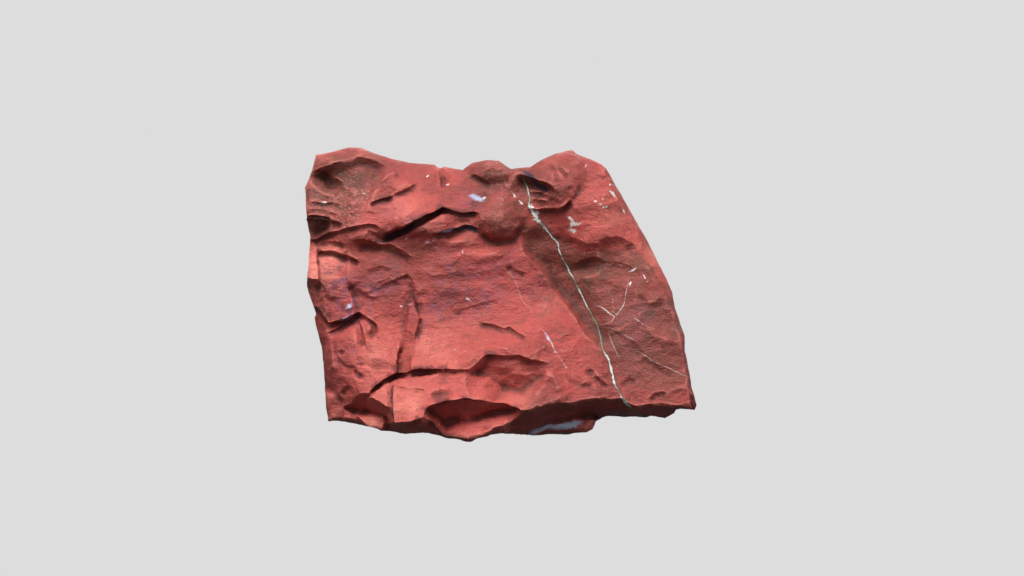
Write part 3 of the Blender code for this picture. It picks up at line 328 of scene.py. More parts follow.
# The ledge across the left half, the dark slot under it and the wrinkle below that.
def brow(r):
    r.ledge([(-51.0, 52.3), (-46.2, 53.0), (-42.5, 54.1), (-38.7, 55.2), (-34.7, 55.8), (-31.0, 54.6)],
            1.1, 3.0, "right", wall=0.9, lip=0.5, ends=0.08)
    r.ledge([(-38.6, 51.4), (-35.6, 51.8), (-32.4, 50.6), (-28.4, 50.6), (-24.6, 48.4), (-21.6, 46.0)],
            2.0, 5.0, "right", wall=1.9, lip=0.4, ends=0.2, fall=1.2)
    r.ledge([(-34.6, 54.2), (-32.4, 53.0), (-30.0, 52.2)], 0.8, 2.0, "right", wall=0.6)
    r.ledge([(-32.0, 52.4), (-29.4, 53.5), (-25.0, 55.7), (-20.6, 57.7), (-15.0, 60.3), (-12.3, 59.5),
             (-10.0, 58.8), (-7.1, 59.4), (-5.0, 59.2)], 1.3, 7.0, "right",
            wall=0.8, lip=0.9, ends=0.1, fall=1.0)
    r.trench([(-31.4, 51.6), (-29.0, 52.3), (-24.8, 54.5), (-20.2, 57.0), (-15.4, 59.5), (-12.0, 59.1)],
             2.2, 0.75)
    r.ledge([(-24.6, 52.6), (-22.0, 53.8), (-19.0, 55.2)], 0.7, 2.4, "right", wall=0.5)
    r.ledge([(-18.8, 52.6), (-17.2, 53.8), (-15.0, 54.1), (-12.3, 55.4), (-10.0, 55.7), (-7.6, 55.4),
             (-5.3, 54.0)], 1.4, 4.0, "right", wall=0.9, lip=0.4)
    r.ledge([(-13.4, 56.6), (-10.6, 57.2), (-7.4, 56.8)], 0.7, 1.6, "right", wall=0.5)
    r.fold([(-27.0, 57.8), (-22.5, 60.4), (-17.6, 62.4)], 0.7, 1.3)
    r.fold([(-17.0, 50.6), (-11.0, 52.4), (-5.0, 51.4)], 0.9, 1.8)


# The knob in the middle, the round lump above it, and the block at the top right.
def lumps(r):
    r.lump((-0.1, 58.4), (7.0, 6.4), 3.0, 10, 1.2)
    r.ledge([(-6.2, 55.6), (-5.0, 53.8), (-2.6, 52.7), (0.2, 52.4), (2.7, 53.3), (5.0, 55.4), (6.0, 58.0)],
            1.9, 5.0, "right", wall=1.5, lip=0.4, ends=0.3)
    r.lump((-2.8, 70.8), (6.0, 4.4), 2.2, -8, 1.1)
    r.ledge([(-7.0, 69.4), (-5.2, 68.1), (-3.4, 66.8), (-2.0, 66.6)], 0.9, 2.4, "right", wall=0.9)
    r.fold([(-9.0, 61.0), (-5.0, 61.6), (-3.0, 64.4)], -0.4, 0.9)
    r.fold([(1.0, 70.6), (2.2, 68.2), (3.0, 65.6)], 0.5, 0.8)
    r.lump((15.0, 69.0), (7.8, 7.2), 2.6, 30, 0.9)
    r.ledge([(4.2, 70.2), (7.0, 68.9), (9.7, 67.2), (12.9, 65.3), (14.2, 63.4)], 4.2, 6.0, "right", wall=2.2,
            lip=0.5, ends=0.3, fall=1.2)
    r.fold([(6.8, 65.4), (9.4, 64.4), (12.4, 63.0)], 1.1, 0.7)
    r.fold([(7.4, 62.8), (10.0, 62.0), (12.4, 61.4)], 0.9, 0.6)
    r.ledge([(7.4, 60.4), (9.6, 59.5), (12.0, 59.6), (15.0, 60.0), (16.9, 61.1), (18.6, 62.5)], 1.6, 5.0,
            "right", wall=0.9, lip=0.3, ends=0.15)
    r.ledge([(15.0, 60.0), (16.9, 61.1), (18.6, 62.5), (20.1, 64.1), (20.8, 66.8)], 0.7, 4.0, "right",
            wall=0.6, lip=0.2, ends=0.3)
    r.ledge([(20.9, 67.0), (21.2, 70.0), (20.6, 73.0), (19.8, 76.0)], 0.5, 4.0, "right", wall=1.4)
    r.fold([(15.2, 70.8), (17.0, 68.8), (18.6, 68.2)], -0.7, 0.6)
    r.fold([(12.4, 72.0), (14.6, 69.2), (14.8, 65.6)], -0.5, 0.8)


# The broad leaning slab in the middle, with soft ripples across it.
def slab(r):
    r.ledge([(4.6, 53.6), (6.9, 48.8), (8.6, 46.3), (10.8, 44.2), (13.2, 40.3), (17.1, 35.6), (19.7, 31.2),
             (22.3, 27.2), (25.2, 24.4), (28.5, 22.0)], 3.4, 8.5, "left", wall=2.6, lip=0.5, ends=0.12)
    r.ledge([(-7.0, 30.8), (-3.0, 30.1), (0.2, 28.9), (1.9, 29.5), (4.8, 27.7), (7.6, 25.6)],
            1.1, 4.5, "right", wall=0.8, lip=0.2)
    r.ledge([(-13.0, 33.0), (-7.6, 34.5), (-3.9, 35.9), (-0.4, 37.4)], 0.8, 4.0, "right", 1.2)
    r.ledge([(-11.0, 28.2), (-6.5, 26.9), (-1.9, 25.5), (2.0, 24.6)], 0.7, 3.5, "right", 1.2)
    r.ledge([(-7.0, 23.2), (-1.0, 24.0), (3.0, 23.0)], 0.6, 3.5, "right", 1.4)
    r.cut([(-5.3, 17.4), (-2.5, 21.0), (3.1, 21.4), (7.5, 19.9), (12.2, 19.5), (9.5, 16.0), (5.5, 12.8),
           (0.7, 13.8), (-2.5, 16.4)], (4, 21), 16.8, -16, -8, 1.5)
    r.ledge([(-4.0, 23.6), (0.4, 23.2), (3.9, 22.0), (7.4, 20.4), (10.0, 20.7), (12.4, 20.4), (14.6, 17.4)],
            0.6, 3.6, "right", wall=1.2, lip=0.2)
    r.fold([(-14.0, 16.0), (-6.0, 16.2), (2.0, 14.4)], 0.8, 1.6)
    r.fold([(11.6, 18.6), (14.2, 15.2), (15.6, 11.8)], 0.9, 1.3)
    r.ledge([(-23.0, 43.6), (-16.0, 42.6), (-10.0, 44.0)], 0.6, 5.0, "right", 1.4)
    r.ledge([(2.0, 45.6), (4.6, 43.9), (7.0, 43.0)], 0.8, 3.4, "right", 1.0)
    r.fold([(-11.0, 49.2), (-5.0, 47.4), (3.0, 49.0)], 0.6, 1.6)
    r.fold([(-19.0, 40.0), (-10.0, 38.4), (-3.0, 40.4)], 0.5, 1.6)
    r.fold([(-2.0, 40.2), (3.0, 38.6), (9.0, 36.0)], -0.5, 1.4)
    r.ledge([(-21.6, 30.6), (-15.0, 29.2), (-9.0, 30.2)], 0.8, 8.0, "right", 2.4)
    r.ledge([(-24.4, 43.0), (-22.6, 38.6), (-23.2, 35.2), (-24.8, 29.4), (-26.0, 24.5), (-26.4, 21.6),
             (-26.8, 17.6)], 1.0, 12.0, "right", wall=0.5, ends=0.03, fall=0.7)
    r.plate([(-22.6, 39.0), (-23.6, 35.2), (-25.0, 29.4), (-26.2, 24.5), (-26.9, 17.8), (-23.5, 17.6),
             (-22.9, 22.0), (-22.2, 25.4), (-21.3, 28.8), (-20.7, 31.8)], (-24, 26), 13.4, 6, -28, 0.35)
    r.crack([(-24.9, 43.6), (-23.6, 41.6), (-22.6, 38.6), (-23.2, 35.2)], 0.8, 0.6)
    r.crack([(-24.2, 31.6), (-24.8, 29.4), (-26.0, 24.5), (-26.4, 21.6), (-26.8, 18.0)], 0.8, 0.45, 0.12)
    r.ledge([(-35.0, 10.6), (-32.6, 13.0), (-30.3, 15.1), (-28.0, 16.6), (-26.8, 17.6), (-20.0, 18.4),
             (-14.0, 18.4), (-7.6, 18.2), (-3.0, 17.0)], 1.0, 5.0, "right",
            wall=0.5, lip=0.4, ends=0.14, fall=1.2)
    r.trench([(-35.2, 10.2), (-32.6, 12.9), (-30.2, 14.9), (-28.0, 16.3), (-26.0, 16.9), (-21.0, 17.5),
              (-14.6, 18.1)], 2.2, 0.85, 0.2)


# The broken blocks, cracks and small faces down the left side.
def leftBlocks(r):
    r.ledge([(-47.2, 51.6), (-43.0, 51.2), (-39.6, 50.2)], 0.8, 2.6, "right", wall=0.5)
    r.ledge([(-47.4, 49.6), (-46.6, 49.4), (-43.0, 48.9), (-39.4, 47.6), (-36.6, 46.2)],
            1.9, 3.4, "right", wall=0.9, lip=0.3, ends=0.06)
    r.plate([(-51.5, 52.4), (-47.4, 52.0), (-47.2, 45.0), (-47.7, 39.7), (-51.5, 39.5)],
            (-49, 46), 10.6, 26, 6, 0.4)
    r.cut([(-51.5, 39.4), (-47.8, 39.4), (-47.7, 35.2), (-51.5, 35.2)], (-49, 37), 7.4, -6, -18, 2.0)
    r.ledge([(-47.6, 40.6), (-45.6, 38.6), (-44.4, 36.6), (-42.6, 37.6)], 0.9, 3.0, "right", 0.8)
    r.cut([(-47.7, 35.6), (-45.3, 36.9), (-44.2, 35.9), (-44.3, 30.9)], (-45.4, 34.6), 8.6, -10, -24, 2.0)
    r.ledge([(-48.0, 35.0), (-46.2, 32.6), (-44.4, 30.5), (-42.2, 31.2), (-37.8, 32.9), (-36.6, 33.6)],
            2.8, 4.0, "right", wall=0.8, lip=0.6, ends=0.06)
    r.ledge([(-45.6, 27.6), (-41.6, 29.8), (-37.6, 32.2)], 0.9, 3.0, "right", wall=0.4, lip=0.5)
    r.fold([(-40.4, 33.6), (-38.6, 35.4), (-38.0, 37.8)], 0.8, 0.8)
    r.ledge([(-37.2, 33.2), (-37.4, 34.9), (-38.4, 37.5), (-40.0, 40.0)], 1.5, 4.0, "right", wall=0.6)
    r.ledge([(-37.6, 34.8), (-34.7, 32.3), (-32.6, 30.3), (-31.9, 28.0), (-32.9, 25.0)], 2.2, 3.0, "right",
            wall=0.9, lip=0.4)
    r.fold([(-35.8, 32.0), (-33.8, 29.8), (-33.6, 27.6)], 0.8, 0.6)
    r.ledge([(-37.2, 32.6), (-36.1, 29.4), (-35.4, 27.1), (-35.6, 22.6)], 1.6, 3.0, "right",
            wall=0.6, lip=0.3)
    r.lump((-39.4, 24.0), (4.6, 5.6), 0.9, 20, 0.9)
    r.ledge([(-43.5, 27.0), (-43.2, 24.0), (-42.2, 20.6), (-39.9, 18.5), (-37.4, 19.4)], 0.7, 2.4, "right",
            wall=0.6)
    r.lump((-41.7, 22.2), (0.9, 0.8), -0.6)
    r.ledge([(-38.2, 18.2), (-37.2, 17.4), (-35.8, 16.2)], 1.3, 2.0, "right", 0.7)
    r.ledge([(-40.6, 42.4), (-37.6, 39.6), (-33.0, 37.6), (-27.5, 38.8)], 0.9, 4.5, "right", 1.2)
    r.ledge([(-39.4, 49.0), (-39.8, 44.6), (-40.6, 40.0)], 1.0, 4.0, "right", 0.8)
    r.ledge([(-35.4, 44.4), (-31.0, 45.2), (-27.6, 44.0)], 0.8, 3.4, "right", 1.0)
    r.ledge([(-33.0, 41.4), (-29.0, 41.8), (-25.4, 40.4)], 0.6, 3.0, "right", 1.0)
    side = [(-48.4, 35.4), (-45.3, 29.7), (-44.4, 25.7), (-44.0, 19.9), (-43.1, 13.6), (-41.2, 10.4),
            (-41.6, 3.0)]
    i = r.near(side, 9.0)
    away, left, _ = locate(side, r.x[i], r.w[i])
    r.h[i] -= np.where(left < 0.0, 1.5 * away, 0.0)
    r.plate([(-46.8, 13.2), (-43.1, 13.4), (-41.1, 10.6), (-41.2, 4.0), (-46.8, 4.0)],
            (-44, 9), 8.8, 4, -12, 0.8)


# The dark wedge and the small triangles under the left corner.
def lowerLeft(r):
    r.ledge([(-42.4, 12.6), (-40.0, 14.6), (-37.6, 12.4)], 1.6, 3.0, "right", 1.2)
    r.cut([(-41.6, 10.6), (-37.5, 11.8), (-34.1, 11.3), (-28.4, 8.6), (-28.4, 7.7), (-36.0, 6.9),
           (-41.0, 8.2)], (-35, 11.4), 14.2, -52, -4, 2.4)
    r.ledge([(-41.0, 8.4), (-36.0, 7.2), (-28.6, 8.0)], 0.9, 3.0, "right", wall=0.6, ends=0.05)
    r.buildUp([(-37.6, 6.3), (-30.2, 6.3), (-29.4, 1.6), (-34.0, 1.6)], (-33, 4.6), 14.6, 36, -4)
    r.underside([(-30.4, 5.4), (-28.0, 4.8), (-26.9, 4.7), (-20.3, 6.0), (-17.7, 7.4), (-16.4, 6.4),
                 (-14.6, 4.4), (-13.4, 2.6)], 58)
    r.buildUp([(-33.8, 11.1), (-29.5, 15.2), (-28.0, 14.4), (-28.1, 8.4)], (-30, 11), 18.6, 34, -6, 3.0)


# The chunk that stands out most and the two shell-shaped scars beside it.
def shelf(r):
    r.buildUp([(-27.8, 14.2), (-28.1, 8.6), (-27.7, 4.9), (-27.1, 4.5), (-20.0, 5.9), (-17.4, 7.4),
                (-16.6, 9.6), (-18.4, 14.0)], (-24, 8), 24.2, 34, 12, 8.0)
    r.ledge([(-27.4, 14.1), (-23.0, 13.6), (-18.2, 13.2)], 0.6, 3.0, "right", wall=0.5)
    r.lump((-15.2, 11.4), (2.6, 2.0), -1.0)
    r.cut([(-17.7, 7.5), (-14.3, 9.4), (-9.1, 10.3), (-3.4, 10.3), (0.8, 9.6), (3.6, 7.5), (1.8, 6.7),
           (-5.5, 5.9), (-9.6, 4.9), (-13.5, 3.9)], (-8, 10), 21.2, -50, 6, 3.2)
    r.underside([(-18.0, -0.6), (-15.5, 0.2), (-13.5, 1.0), (-9.1, 2.4), (-6.5, 4.4), (-3.4, 5.7), (0.0, 6.2),
                 (3.0, 6.6)], 42)


# The valley beside the slab, the face right of it and its soft breaks.
def rightSide(r):
    r.ledge([(23.4, 49.8), (26.0, 51.6), (28.4, 52.4), (31.3, 52.2), (33.9, 51.2), (36.2, 48.4)],
            2.4, 9.0, "right", 3.2)
    r.lump((22.6, 44.6), (5.4, 2.6), -1.4, 8, 1.6)
    r.ledge([(14.8, 55.4), (18.0, 52.4), (22.6, 50.8), (25.6, 51.4)], 1.4, 8.0, "right", 3.0)
    r.ledge([(25.0, 46.8), (31.0, 46.0), (37.0, 43.4)], 1.0, 5.0, "right", 1.8)
    border = [(28.0, 71.0), (31.3, 61.1), (35.0, 54.7), (37.1, 48.1), (39.9, 42.3), (42.4, 38.0),
              (44.6, 33.0),
              (46.4, 26.0), (47.4, 20.0), (49.0, 12.0)]
    i = r.near(border, 6.0)
    away, left, _ = locate(border, r.x[i], r.w[i])
    r.h[i] -= np.where(left > 0.0, 0.9 * away, 0.0)
    r.ledge([(35.6, 38.0), (38.4, 35.8), (42.4, 36.6)], 0.8, 4.0, "right", 1.4)
    r.ledge([(27.4, 29.6), (31.9, 27.4), (35.0, 25.7), (37.6, 21.6), (42.8, 19.0), (48.3, 16.2)],
            0.6, 5.0, "right", 1.4)
    r.ledge([(22.4, 19.2), (25.2, 16.5), (28.6, 14.0)], 1.1, 3.0, "right", 0.8)
    r.ledge([(18.0, 16.2), (21.0, 14.6), (24.0, 14.8)], 0.6, 2.4, "right", 0.8)
    r.ledge([(30.1, 14.7), (33.0, 16.3), (35.4, 15.4)], 0.8, 2.6, "right", 0.8)
    r.ledge([(37.8, 10.6), (40.0, 12.0), (43.0, 12.4)], 1.1, 2.8, "right", 0.9)
    r.fold([(36.0, 31.0), (41.0, 27.0), (46.0, 25.6)], 0.6, 1.8)
    r.fold([(28.0, 41.0), (33.0, 34.0), (39.0, 31.4)], -0.6, 2.2)


# The rim that runs from the scars to the right corner, and the tongue under it.
def bottomRight(r):
    r.underside([(1.5, 6.4), (4.9, 7.0), (8.1, 7.5), (11.7, 8.8), (15.0, 9.5), (25.0, 10.5), (31.2, 10.8),
                 (35.0, 9.2), (41.7, 9.8), (47.4, 7.9), (50.6, 7.0)], 60)
    r.fold([(37.6, 8.8), (41.6, 8.2), (46.4, 7.6)], 1.4, 1.0)
    r.buildUp([(4.0, 2.4), (10.0, 4.3), (15.7, 4.9), (21.4, 5.4), (25.2, 5.0), (25.6, 1.0), (22.0, 0.0),
                (4.0, 0.0)], (15, 3), 10.8, 0, -2, 3.0)


# The fine break: shell scars, ripples that run across, and a rounded outer edge.
def brokenSkin(r, x, w):
    flat = np.stack([x.ravel(), w.ravel(), np.zeros(x.size)], axis=1)
    along, across = flat[:, 0] * 0.96 + flat[:, 1] * 0.28, flat[:, 1] * 0.96 - flat[:, 0] * 0.28
    turned = np.stack([along * 0.5, across, flat[:, 2]], axis=1)
    rough = smoothstep(-0.5, 0.6, layeredNoise(flat, 17.0, 2, 71))
    skin = (0.35 + 0.65 * rough) * (1.5 * shells(turned, 8.0, 81) + 0.5 * shells(turned, 3.2, 91))
    skin += 0.3 * layeredNoise(flat, 9.0, 2, 23) + 0.08 * layeredNoise(turned, 1.3, 2, 41)
    r.h += skin.reshape(r.x.shape) - 0.6
    border = depthInside(topEdge[:-1] + rightEdge[:-1] + bottomEdge[:-1] + leftEdge[:-1], x, w)
    worn = np.clip(1.0 - border / 1.6, 0.0, 1.0)
    r.h -= 1.3 * worn**2


def frontHeight(x, w):
    r = Relief(x, w)
    largeForms(r)
    topLeft(r)
    brow(r)
    lumps(r)
    slab(r)
    leftBlocks(r)
    lowerLeft(r)
    shelf(r)
    rightSide(r)
    bottomRight(r)
    brokenSkin(r, x, w)
    return r.h


# Evenly spaced points along an open line.
def walk(points, count):
    points = np.asarray(points, float)
    run = np.concatenate([[0.0], np.cumsum(np.hypot(*np.diff(points, axis=0).T))])
    at = np.linspace(0.0, run[-1], count + 1)
    return np.stack([np.interp(at, run, points[:, 0]), np.interp(at, run, points[:, 1])], axis=1)


# Points across and up that fill the outline, from its lower left corner.
def frontGrid(columns, rows):
    bottom = walk(bottomEdge[::-1], columns)[None, :, :]
    top = walk(topEdge, columns)[None, :, :]
    left = walk(leftEdge, rows)[:, None, :]
    right = walk(rightEdge[::-1], rows)[:, None, :]
    s = np.linspace(0.0, 1.0, columns + 1)[None, :, None]
    t = np.linspace(0.0, 1.0, rows + 1)[:, None, None]
    corners = (1 - s) * (1 - t) * bottom[:, :1] + s * (1 - t) * bottom[:, -1:]
    corners = corners + (1 - s) * t * top[:, :1] + s * t * top[:, -1:]
    return (1 - t) * bottom + t * top + (1 - s) * left + s * right - corners


# The point in space that the viewer sees at x, w and that stands h toward the viewer.
def place(x, w, h):
    nearer = 1.0 - h / stone["viewDistance"]
    across = stone["viewAim"][0] + (x - stone["viewAim"][0]) * nearer
    up = stone["viewAim"][1] + (w - stone["viewAim"][1]) * nearer
    sine, cosine = math.sin(stone["viewTilt"]), math.cos(stone["viewTilt"])
    y = up * sine - h * cosine
    z = up * cosine + (h - stone["footReach"]) * sine
    return np.stack([across, y, z], axis=-1)


# Flat breaks on the sides and back: the way each faces (degrees round from +X, degrees up) and its
# distance from the heart of the stone.
breaks = [
    (86, 6, 21.5), (104, 20, 23.0), (64, 18, 28.5), (58, -16, 33.0), (132, -4, 34.5), (124, 26, 31.5),
    (12, 21, 36.5), (38, 10, 38.0), (20, -12, 45.0), (172, 2, 47.0), (152, 12, 43.5), (158, -22, 45.5),
    (90, 60, 30.5), (58, 62, 31.5), (126, 64, 32.5), (160, 52, 39.0), (24, 50, 34.5),
    (0, -73, 42.8), (180, -72, 44.0), (95, -50, 42.0),
]
# Shell-shaped scars: the way to each one's deepest point, its distance from the heart and its radius.
scars = [
    (98, 34, 25.5, 22.0), (74, -4, 23.0, 26.0), (140, 4, 36.0, 24.0), (112, -20, 26.5, 24.0),
    (8, 0, 40.5, 26.0), (30, 34, 34.0, 22.0), (170, 14, 45.0, 24.0), (148, 40, 37.5, 22.0),
    (76, 72, 30.5, 24.0), (140, 72, 33.5, 26.0), (176, -30, 49.0, 20.0), (38, -16, 41.0, 24.0),
]


def facing(around, up):
    around, up = math.radians(around), math.radians(up)
    return np.array([math.cos(up) * math.cos(around), math.cos(up) * math.sin(around), math.sin(up)])


# Draws the sides and back in toward the heart, to flat breaks, scars and fine roughness.
def breakBack(points, worn):
    spoke = points - stone["heart"]
    reach = np.linalg.norm(spoke, axis=1)
    way = spoke / reach[:, None]
    kept = reach.copy()
    for around, up, distance in breaks:
        ahead = way @ facing(around, up)
        kept = np.where(ahead > 0.05, np.minimum(kept, distance / np.maximum(ahead, 0.05)), kept)
    for around, up, deepest, radius in scars:
        ahead = way @ facing(around, up) * (deepest + radius)
        hit = ahead**2 - (deepest + radius) ** 2 + radius**2
        entry = ahead - np.sqrt(np.clip(hit, 0.0, None))
        kept = np.where((hit > 0.0) & (ahead > 0.0), np.minimum(kept, entry), kept)
    rough = 0.7 * layeredNoise(points, 11.0, 4, 51)
    rough = rough + 0.5 * layeredNoise(points * (0.5, 1.0, 1.3), 4.0, 3, 61)
    kept = kept + rough
    return stone["heart"] + way * (reach + (kept - reach) * worn)[:, None]


# The mean of each value round a closed loop and its neighbours, half of them on each side.
def smoothed(values, half):
    return sum(np.roll(values, k, axis=0) for k in range(-half, half + 1)) / (2 * half + 1)


def loopOf(index):
    return np.concatenate([index[0, :], index[1:, -1], index[-1, -2::-1], index[-2:0:-1, 0]])


# How far the sides draw in by the back, as a share: none upward at the foot, so that it stays broad.
def taper(places):
    upward = stone["sideTaper"] * smoothstep(0.0, 45.0, places[..., 1])
    return np.stack([np.full(upward.shape, stone["sideTaper"]), upward], axis=-1)


# Vertices and faces of the whole stone as one closed box of grids.
def stoneShell(columns, rows, layers):
    flat = frontGrid(columns, rows)
    height = frontHeight(flat[..., 0], flat[..., 1])
    index = np.arange(height.size).reshape(height.shape)
    rim = loopOf(index)
    high = smoothstep(0.0, 80.0, flat[..., 1])
    floor = (-(stone["depthAtFoot"] - stone["footReach"]) * (1.0 - high)
             - (stone["depthAtTop"] - stone["footReach"]) * high)
    middle = np.array(stone["viewAim"])
    back = middle + (flat - middle) * (1.0 - taper(flat))
    rimFlat = flat.reshape(-1, 2)[rim]
    rimHeight = height.reshape(-1)[rim]
    rimFloor = floor.reshape(-1)[rim]
    evenFlat = smoothed(rimFlat, columns // 16)
    evenHeight = smoothed(rimHeight, columns // 10)
    vertices = [place(flat[..., 0], flat[..., 1], height).reshape(-1, 3)]
    worn = [np.zeros(index.size)]
    loops = [rim]
    total = index.size
    for layer in range(1, layers):
        t = (layer / layers) ** 1.25
        even = float(smoothstep(0.0, 0.4, t))
        outline = rimFlat + (evenFlat - rimFlat) * even
        inset = middle + (outline - middle) * (1.0 - taper(outline) * t)
        start = rimHeight + (evenHeight - rimHeight) * even
        vertices.append(place(inset[:, 0], inset[:, 1], start + (rimFloor - start) * t))
        worn.append(np.full(len(rim), float(smoothstep(0.0, 0.22, t))))
        loops.append(np.arange(total, total + len(rim)))
        total += len(rim)
    vertices.append(place(back[..., 0], back[..., 1], floor).reshape(-1, 3))
    worn.append(np.ones(index.size))
    loops.append(loopOf(index + total))
    points = breakBack(np.concatenate(vertices), np.concatenate(worn))
    low = points[:, 2] < -stone["footSpare"]
    spoke = points[low] - stone["heart"]
    points[low] = stone["heart"] + spoke * ((stone["heart"][2] + stone["footSpare"]) / -spoke[:, 2])[:, None]
    faces = [quads(index), quads(index + total)[:, ::-1]]
    for near, far in zip(loops, loops[1:]):
        faces.append(np.stack([np.roll(near, -1), near, far, np.roll(far, -1)], axis=1))
    return points, np.concatenate(faces)


def quads(index):
    corners = [index[:-1, :-1], index[:-1, 1:], index[1:, 1:], index[1:, :-1]]
    return np.stack([corner.ravel() for corner in corners], axis=1)


# The skin that a break leaves: low ripples and a grain, pressed in along the normals.
skin = {
    "rippleSize": 3.0,
    "rippleDepth": 0.55,
    "grainSize": 0.9,
    "grainDepth": 0.16,
    "seed": 7,
    "stretch": (0.55, 1.0, 1.25),
    "detail": 3.0,
    "rough": 0.55,
    "distort": 0.4,
    "clearOfFoot": (0.0001, 0.0008),  # in metres above the foot, where the skin fades in
}


def stoneMesh():
    points, faces = stoneShell(stone["columns"], stone["rows"], stone["layers"])
    shift = np.append(-(points.min(axis=0) + points.max(axis=0))[:2] / 2.0, 0.0)
    points += shift
    mesh = bpy.data.meshes.new("chertBody")
    mesh.from_pydata((points * 0.001).tolist(), [], faces.tolist())
    body = bpy.data.objects.new("chertBody", mesh)
    bpy.context.scene.collection.objects.link(body)
    return body, shift


class Tree:
    # Builds a node tree: one method adds any node, its settings first, then values or links.
    def __init__(self, nodeTree):
        self.tree = nodeTree

    def add(self, kind, settings=None, **inputs):
        node = self.tree.nodes.new(kind)
        for name, value in (settings or {}).items():
            setattr(node, name, value)
        for name, value in inputs.items():
            self.feed(self.socket(node, name), value)
        return node

    def socket(self, node, name):
        if name[:2] == "in" and name[2:].isdigit():
            return node.inputs[int(name[2:])]
        return next(s for s in node.inputs if s.name.replace(" ", "") == name and s.enabled)

    def feed(self, socket, value):
        if isinstance(value, Value):
            self.tree.links.new(value.socket, socket)
        elif isinstance(value, bpy.types.NodeSocket):
            self.tree.links.new(value, socket)
        else:
            socket.default_value = value

    def math(self, operation, *values):
        node = self.add("ShaderNodeMath", {"operation": operation})
        for k, value in enumerate(values):
            self.feed(node.inputs[k], value)
        return Value(self, node.outputs[0])

    def vector(self, operation, **inputs):
        return self.add("ShaderNodeVectorMath", {"operation": operation}, **inputs).outputs[0]

    def attribute(self, name):
        node = self.add("ShaderNodeAttribute", {"attribute_name": name})
        return Value(self, node.outputs["Fac"])

    def noise(self, place, scale, detail=2.0, rough=0.5, distort=0.0):
        node = self.add("ShaderNodeTexNoise", {}, Vector=place, Scale=scale, Detail=detail,
                        Roughness=rough, Distortion=distort)
        return Value(self, node.outputs["Fac"])

    def cells(self, place, scale):
        node = self.add("ShaderNodeTexVoronoi", {}, Vector=place, Scale=scale)
        return Value(self, node.outputs["Distance"])

    def between(self, value, low, high):
        # 0 below low, 1 above high, smooth in between; low may be above high.
        node = self.add("ShaderNodeMapRange", {"interpolation_type": "SMOOTHSTEP"}, Value=value,
                        FromMin=low, FromMax=high)
        return Value(self, node.outputs[0])

    def mix(self, share, first, second):
        node = self.add("ShaderNodeMix", {"data_type": "RGBA"})
        self.feed(node.inputs[0], share)
        self.feed(node.inputs[6], first)
        self.feed(node.inputs[7], second)
        return node.outputs[2]


class Value:
    # Wraps a socket so that sums on it add Math nodes.
    def __init__(self, tree, socket):
        self.tree = tree
        self.socket = socket

    def __add__(self, other):
        return self.tree.math("ADD", self, other)

    def __sub__(self, other):
        return self.tree.math("SUBTRACT", self, other)

    def __rsub__(self, other):
        return self.tree.math("SUBTRACT", other, self)

    def __mul__(self, other):
        return self.tree.math("MULTIPLY", self, other)


def fractureSkin():
    # Geometry Nodes: presses ripples and grain into the surface, so nothing rises above the body.
    tree = bpy.data.node_groups.new("fractureSkin", "GeometryNodeTree")
    tree.interface.new_socket("Geometry", in_out="INPUT", socket_type="NodeSocketGeometry")
    for name, value in (("Ripple size", skin["rippleSize"]), ("Ripple depth", skin["rippleDepth"]),
                        ("Grain size", skin["grainSize"]), ("Grain depth", skin["grainDepth"]),
                        ("Seed", float(skin["seed"]))):
        tree.interface.new_socket(name, in_out="INPUT", socket_type="NodeSocketFloat").default_value = value
    tree.interface.new_socket("Stone", in_out="INPUT", socket_type="NodeSocketMaterial")
    tree.interface.new_socket("Geometry", in_out="OUTPUT", socket_type="NodeSocketGeometry")
    build = Tree(tree)
    given = tree.nodes.new("NodeGroupInput")
    value = {s.name: Value(build, s) for s in given.outputs if s.name}
    position = tree.nodes.new("GeometryNodeInputPosition").outputs[0]
    normal = tree.nodes.new("GeometryNodeInputNormal").outputs[0]
    millimetres = build.vector("SCALE", in0=position, Scale=1000.0)
    seeded = build.vector("ADD", in0=millimetres, in1=value["Seed"])
    stretched = build.vector("MULTIPLY", in0=seeded, in1=skin["stretch"])

    def field(place, size):
        inverse = build.math("DIVIDE", 1.0, size)
        return build.noise(place, inverse, skin["detail"], skin["rough"], skin["distort"])

    ripple = field(stretched, value["Ripple size"]) * value["Ripple depth"]
    grain = field(seeded, value["Grain size"]) * value["Grain depth"]
    press = (ripple + grain) * -0.001
    height = build.add("ShaderNodeSeparateXYZ", {}, in0=position).outputs[2]
    clear = build.between(Value(build, height), *skin["clearOfFoot"])
    offset = build.vector("SCALE", in0=normal, Scale=press * clear)
    pressed = build.add("GeometryNodeSetPosition", {}, Geometry=given.outputs[0], Offset=offset).outputs[0]
    realized = build.add("GeometryNodeRealizeInstances", {}, in0=pressed).outputs[0]
    finished = build.add("GeometryNodeSetMaterial", {}, in0=realized,
                         Material=given.outputs["Stone"]).outputs[0]
    tree.links.new(finished, tree.nodes.new("NodeGroupOutput").inputs[0])
    return tree


def bake(body, material):
    # Thins the body and puts the skin on it, then keeps the result as a plain mesh.
    thin = body.modifiers.new("thin", "DECIMATE")
    thin.ratio = min(1.0, stone["triangles"] / (2 * len(body.data.polygons)))
    dress = body.modifiers.new("skin", "NODES")
    dress.node_group = fractureSkin()
    named = {item.name: item.identifier for item in dress.node_group.interface.items_tree
             if item.item_type == "SOCKET" and item.in_out == "INPUT"}
    dress[named["Stone"]] = material
    graph = bpy.context.evaluated_depsgraph_get()
    mesh = bpy.data.meshes.new_from_object(body.evaluated_get(graph))
    body.modifiers.clear()
    bpy.data.objects.remove(body)
    return mesh


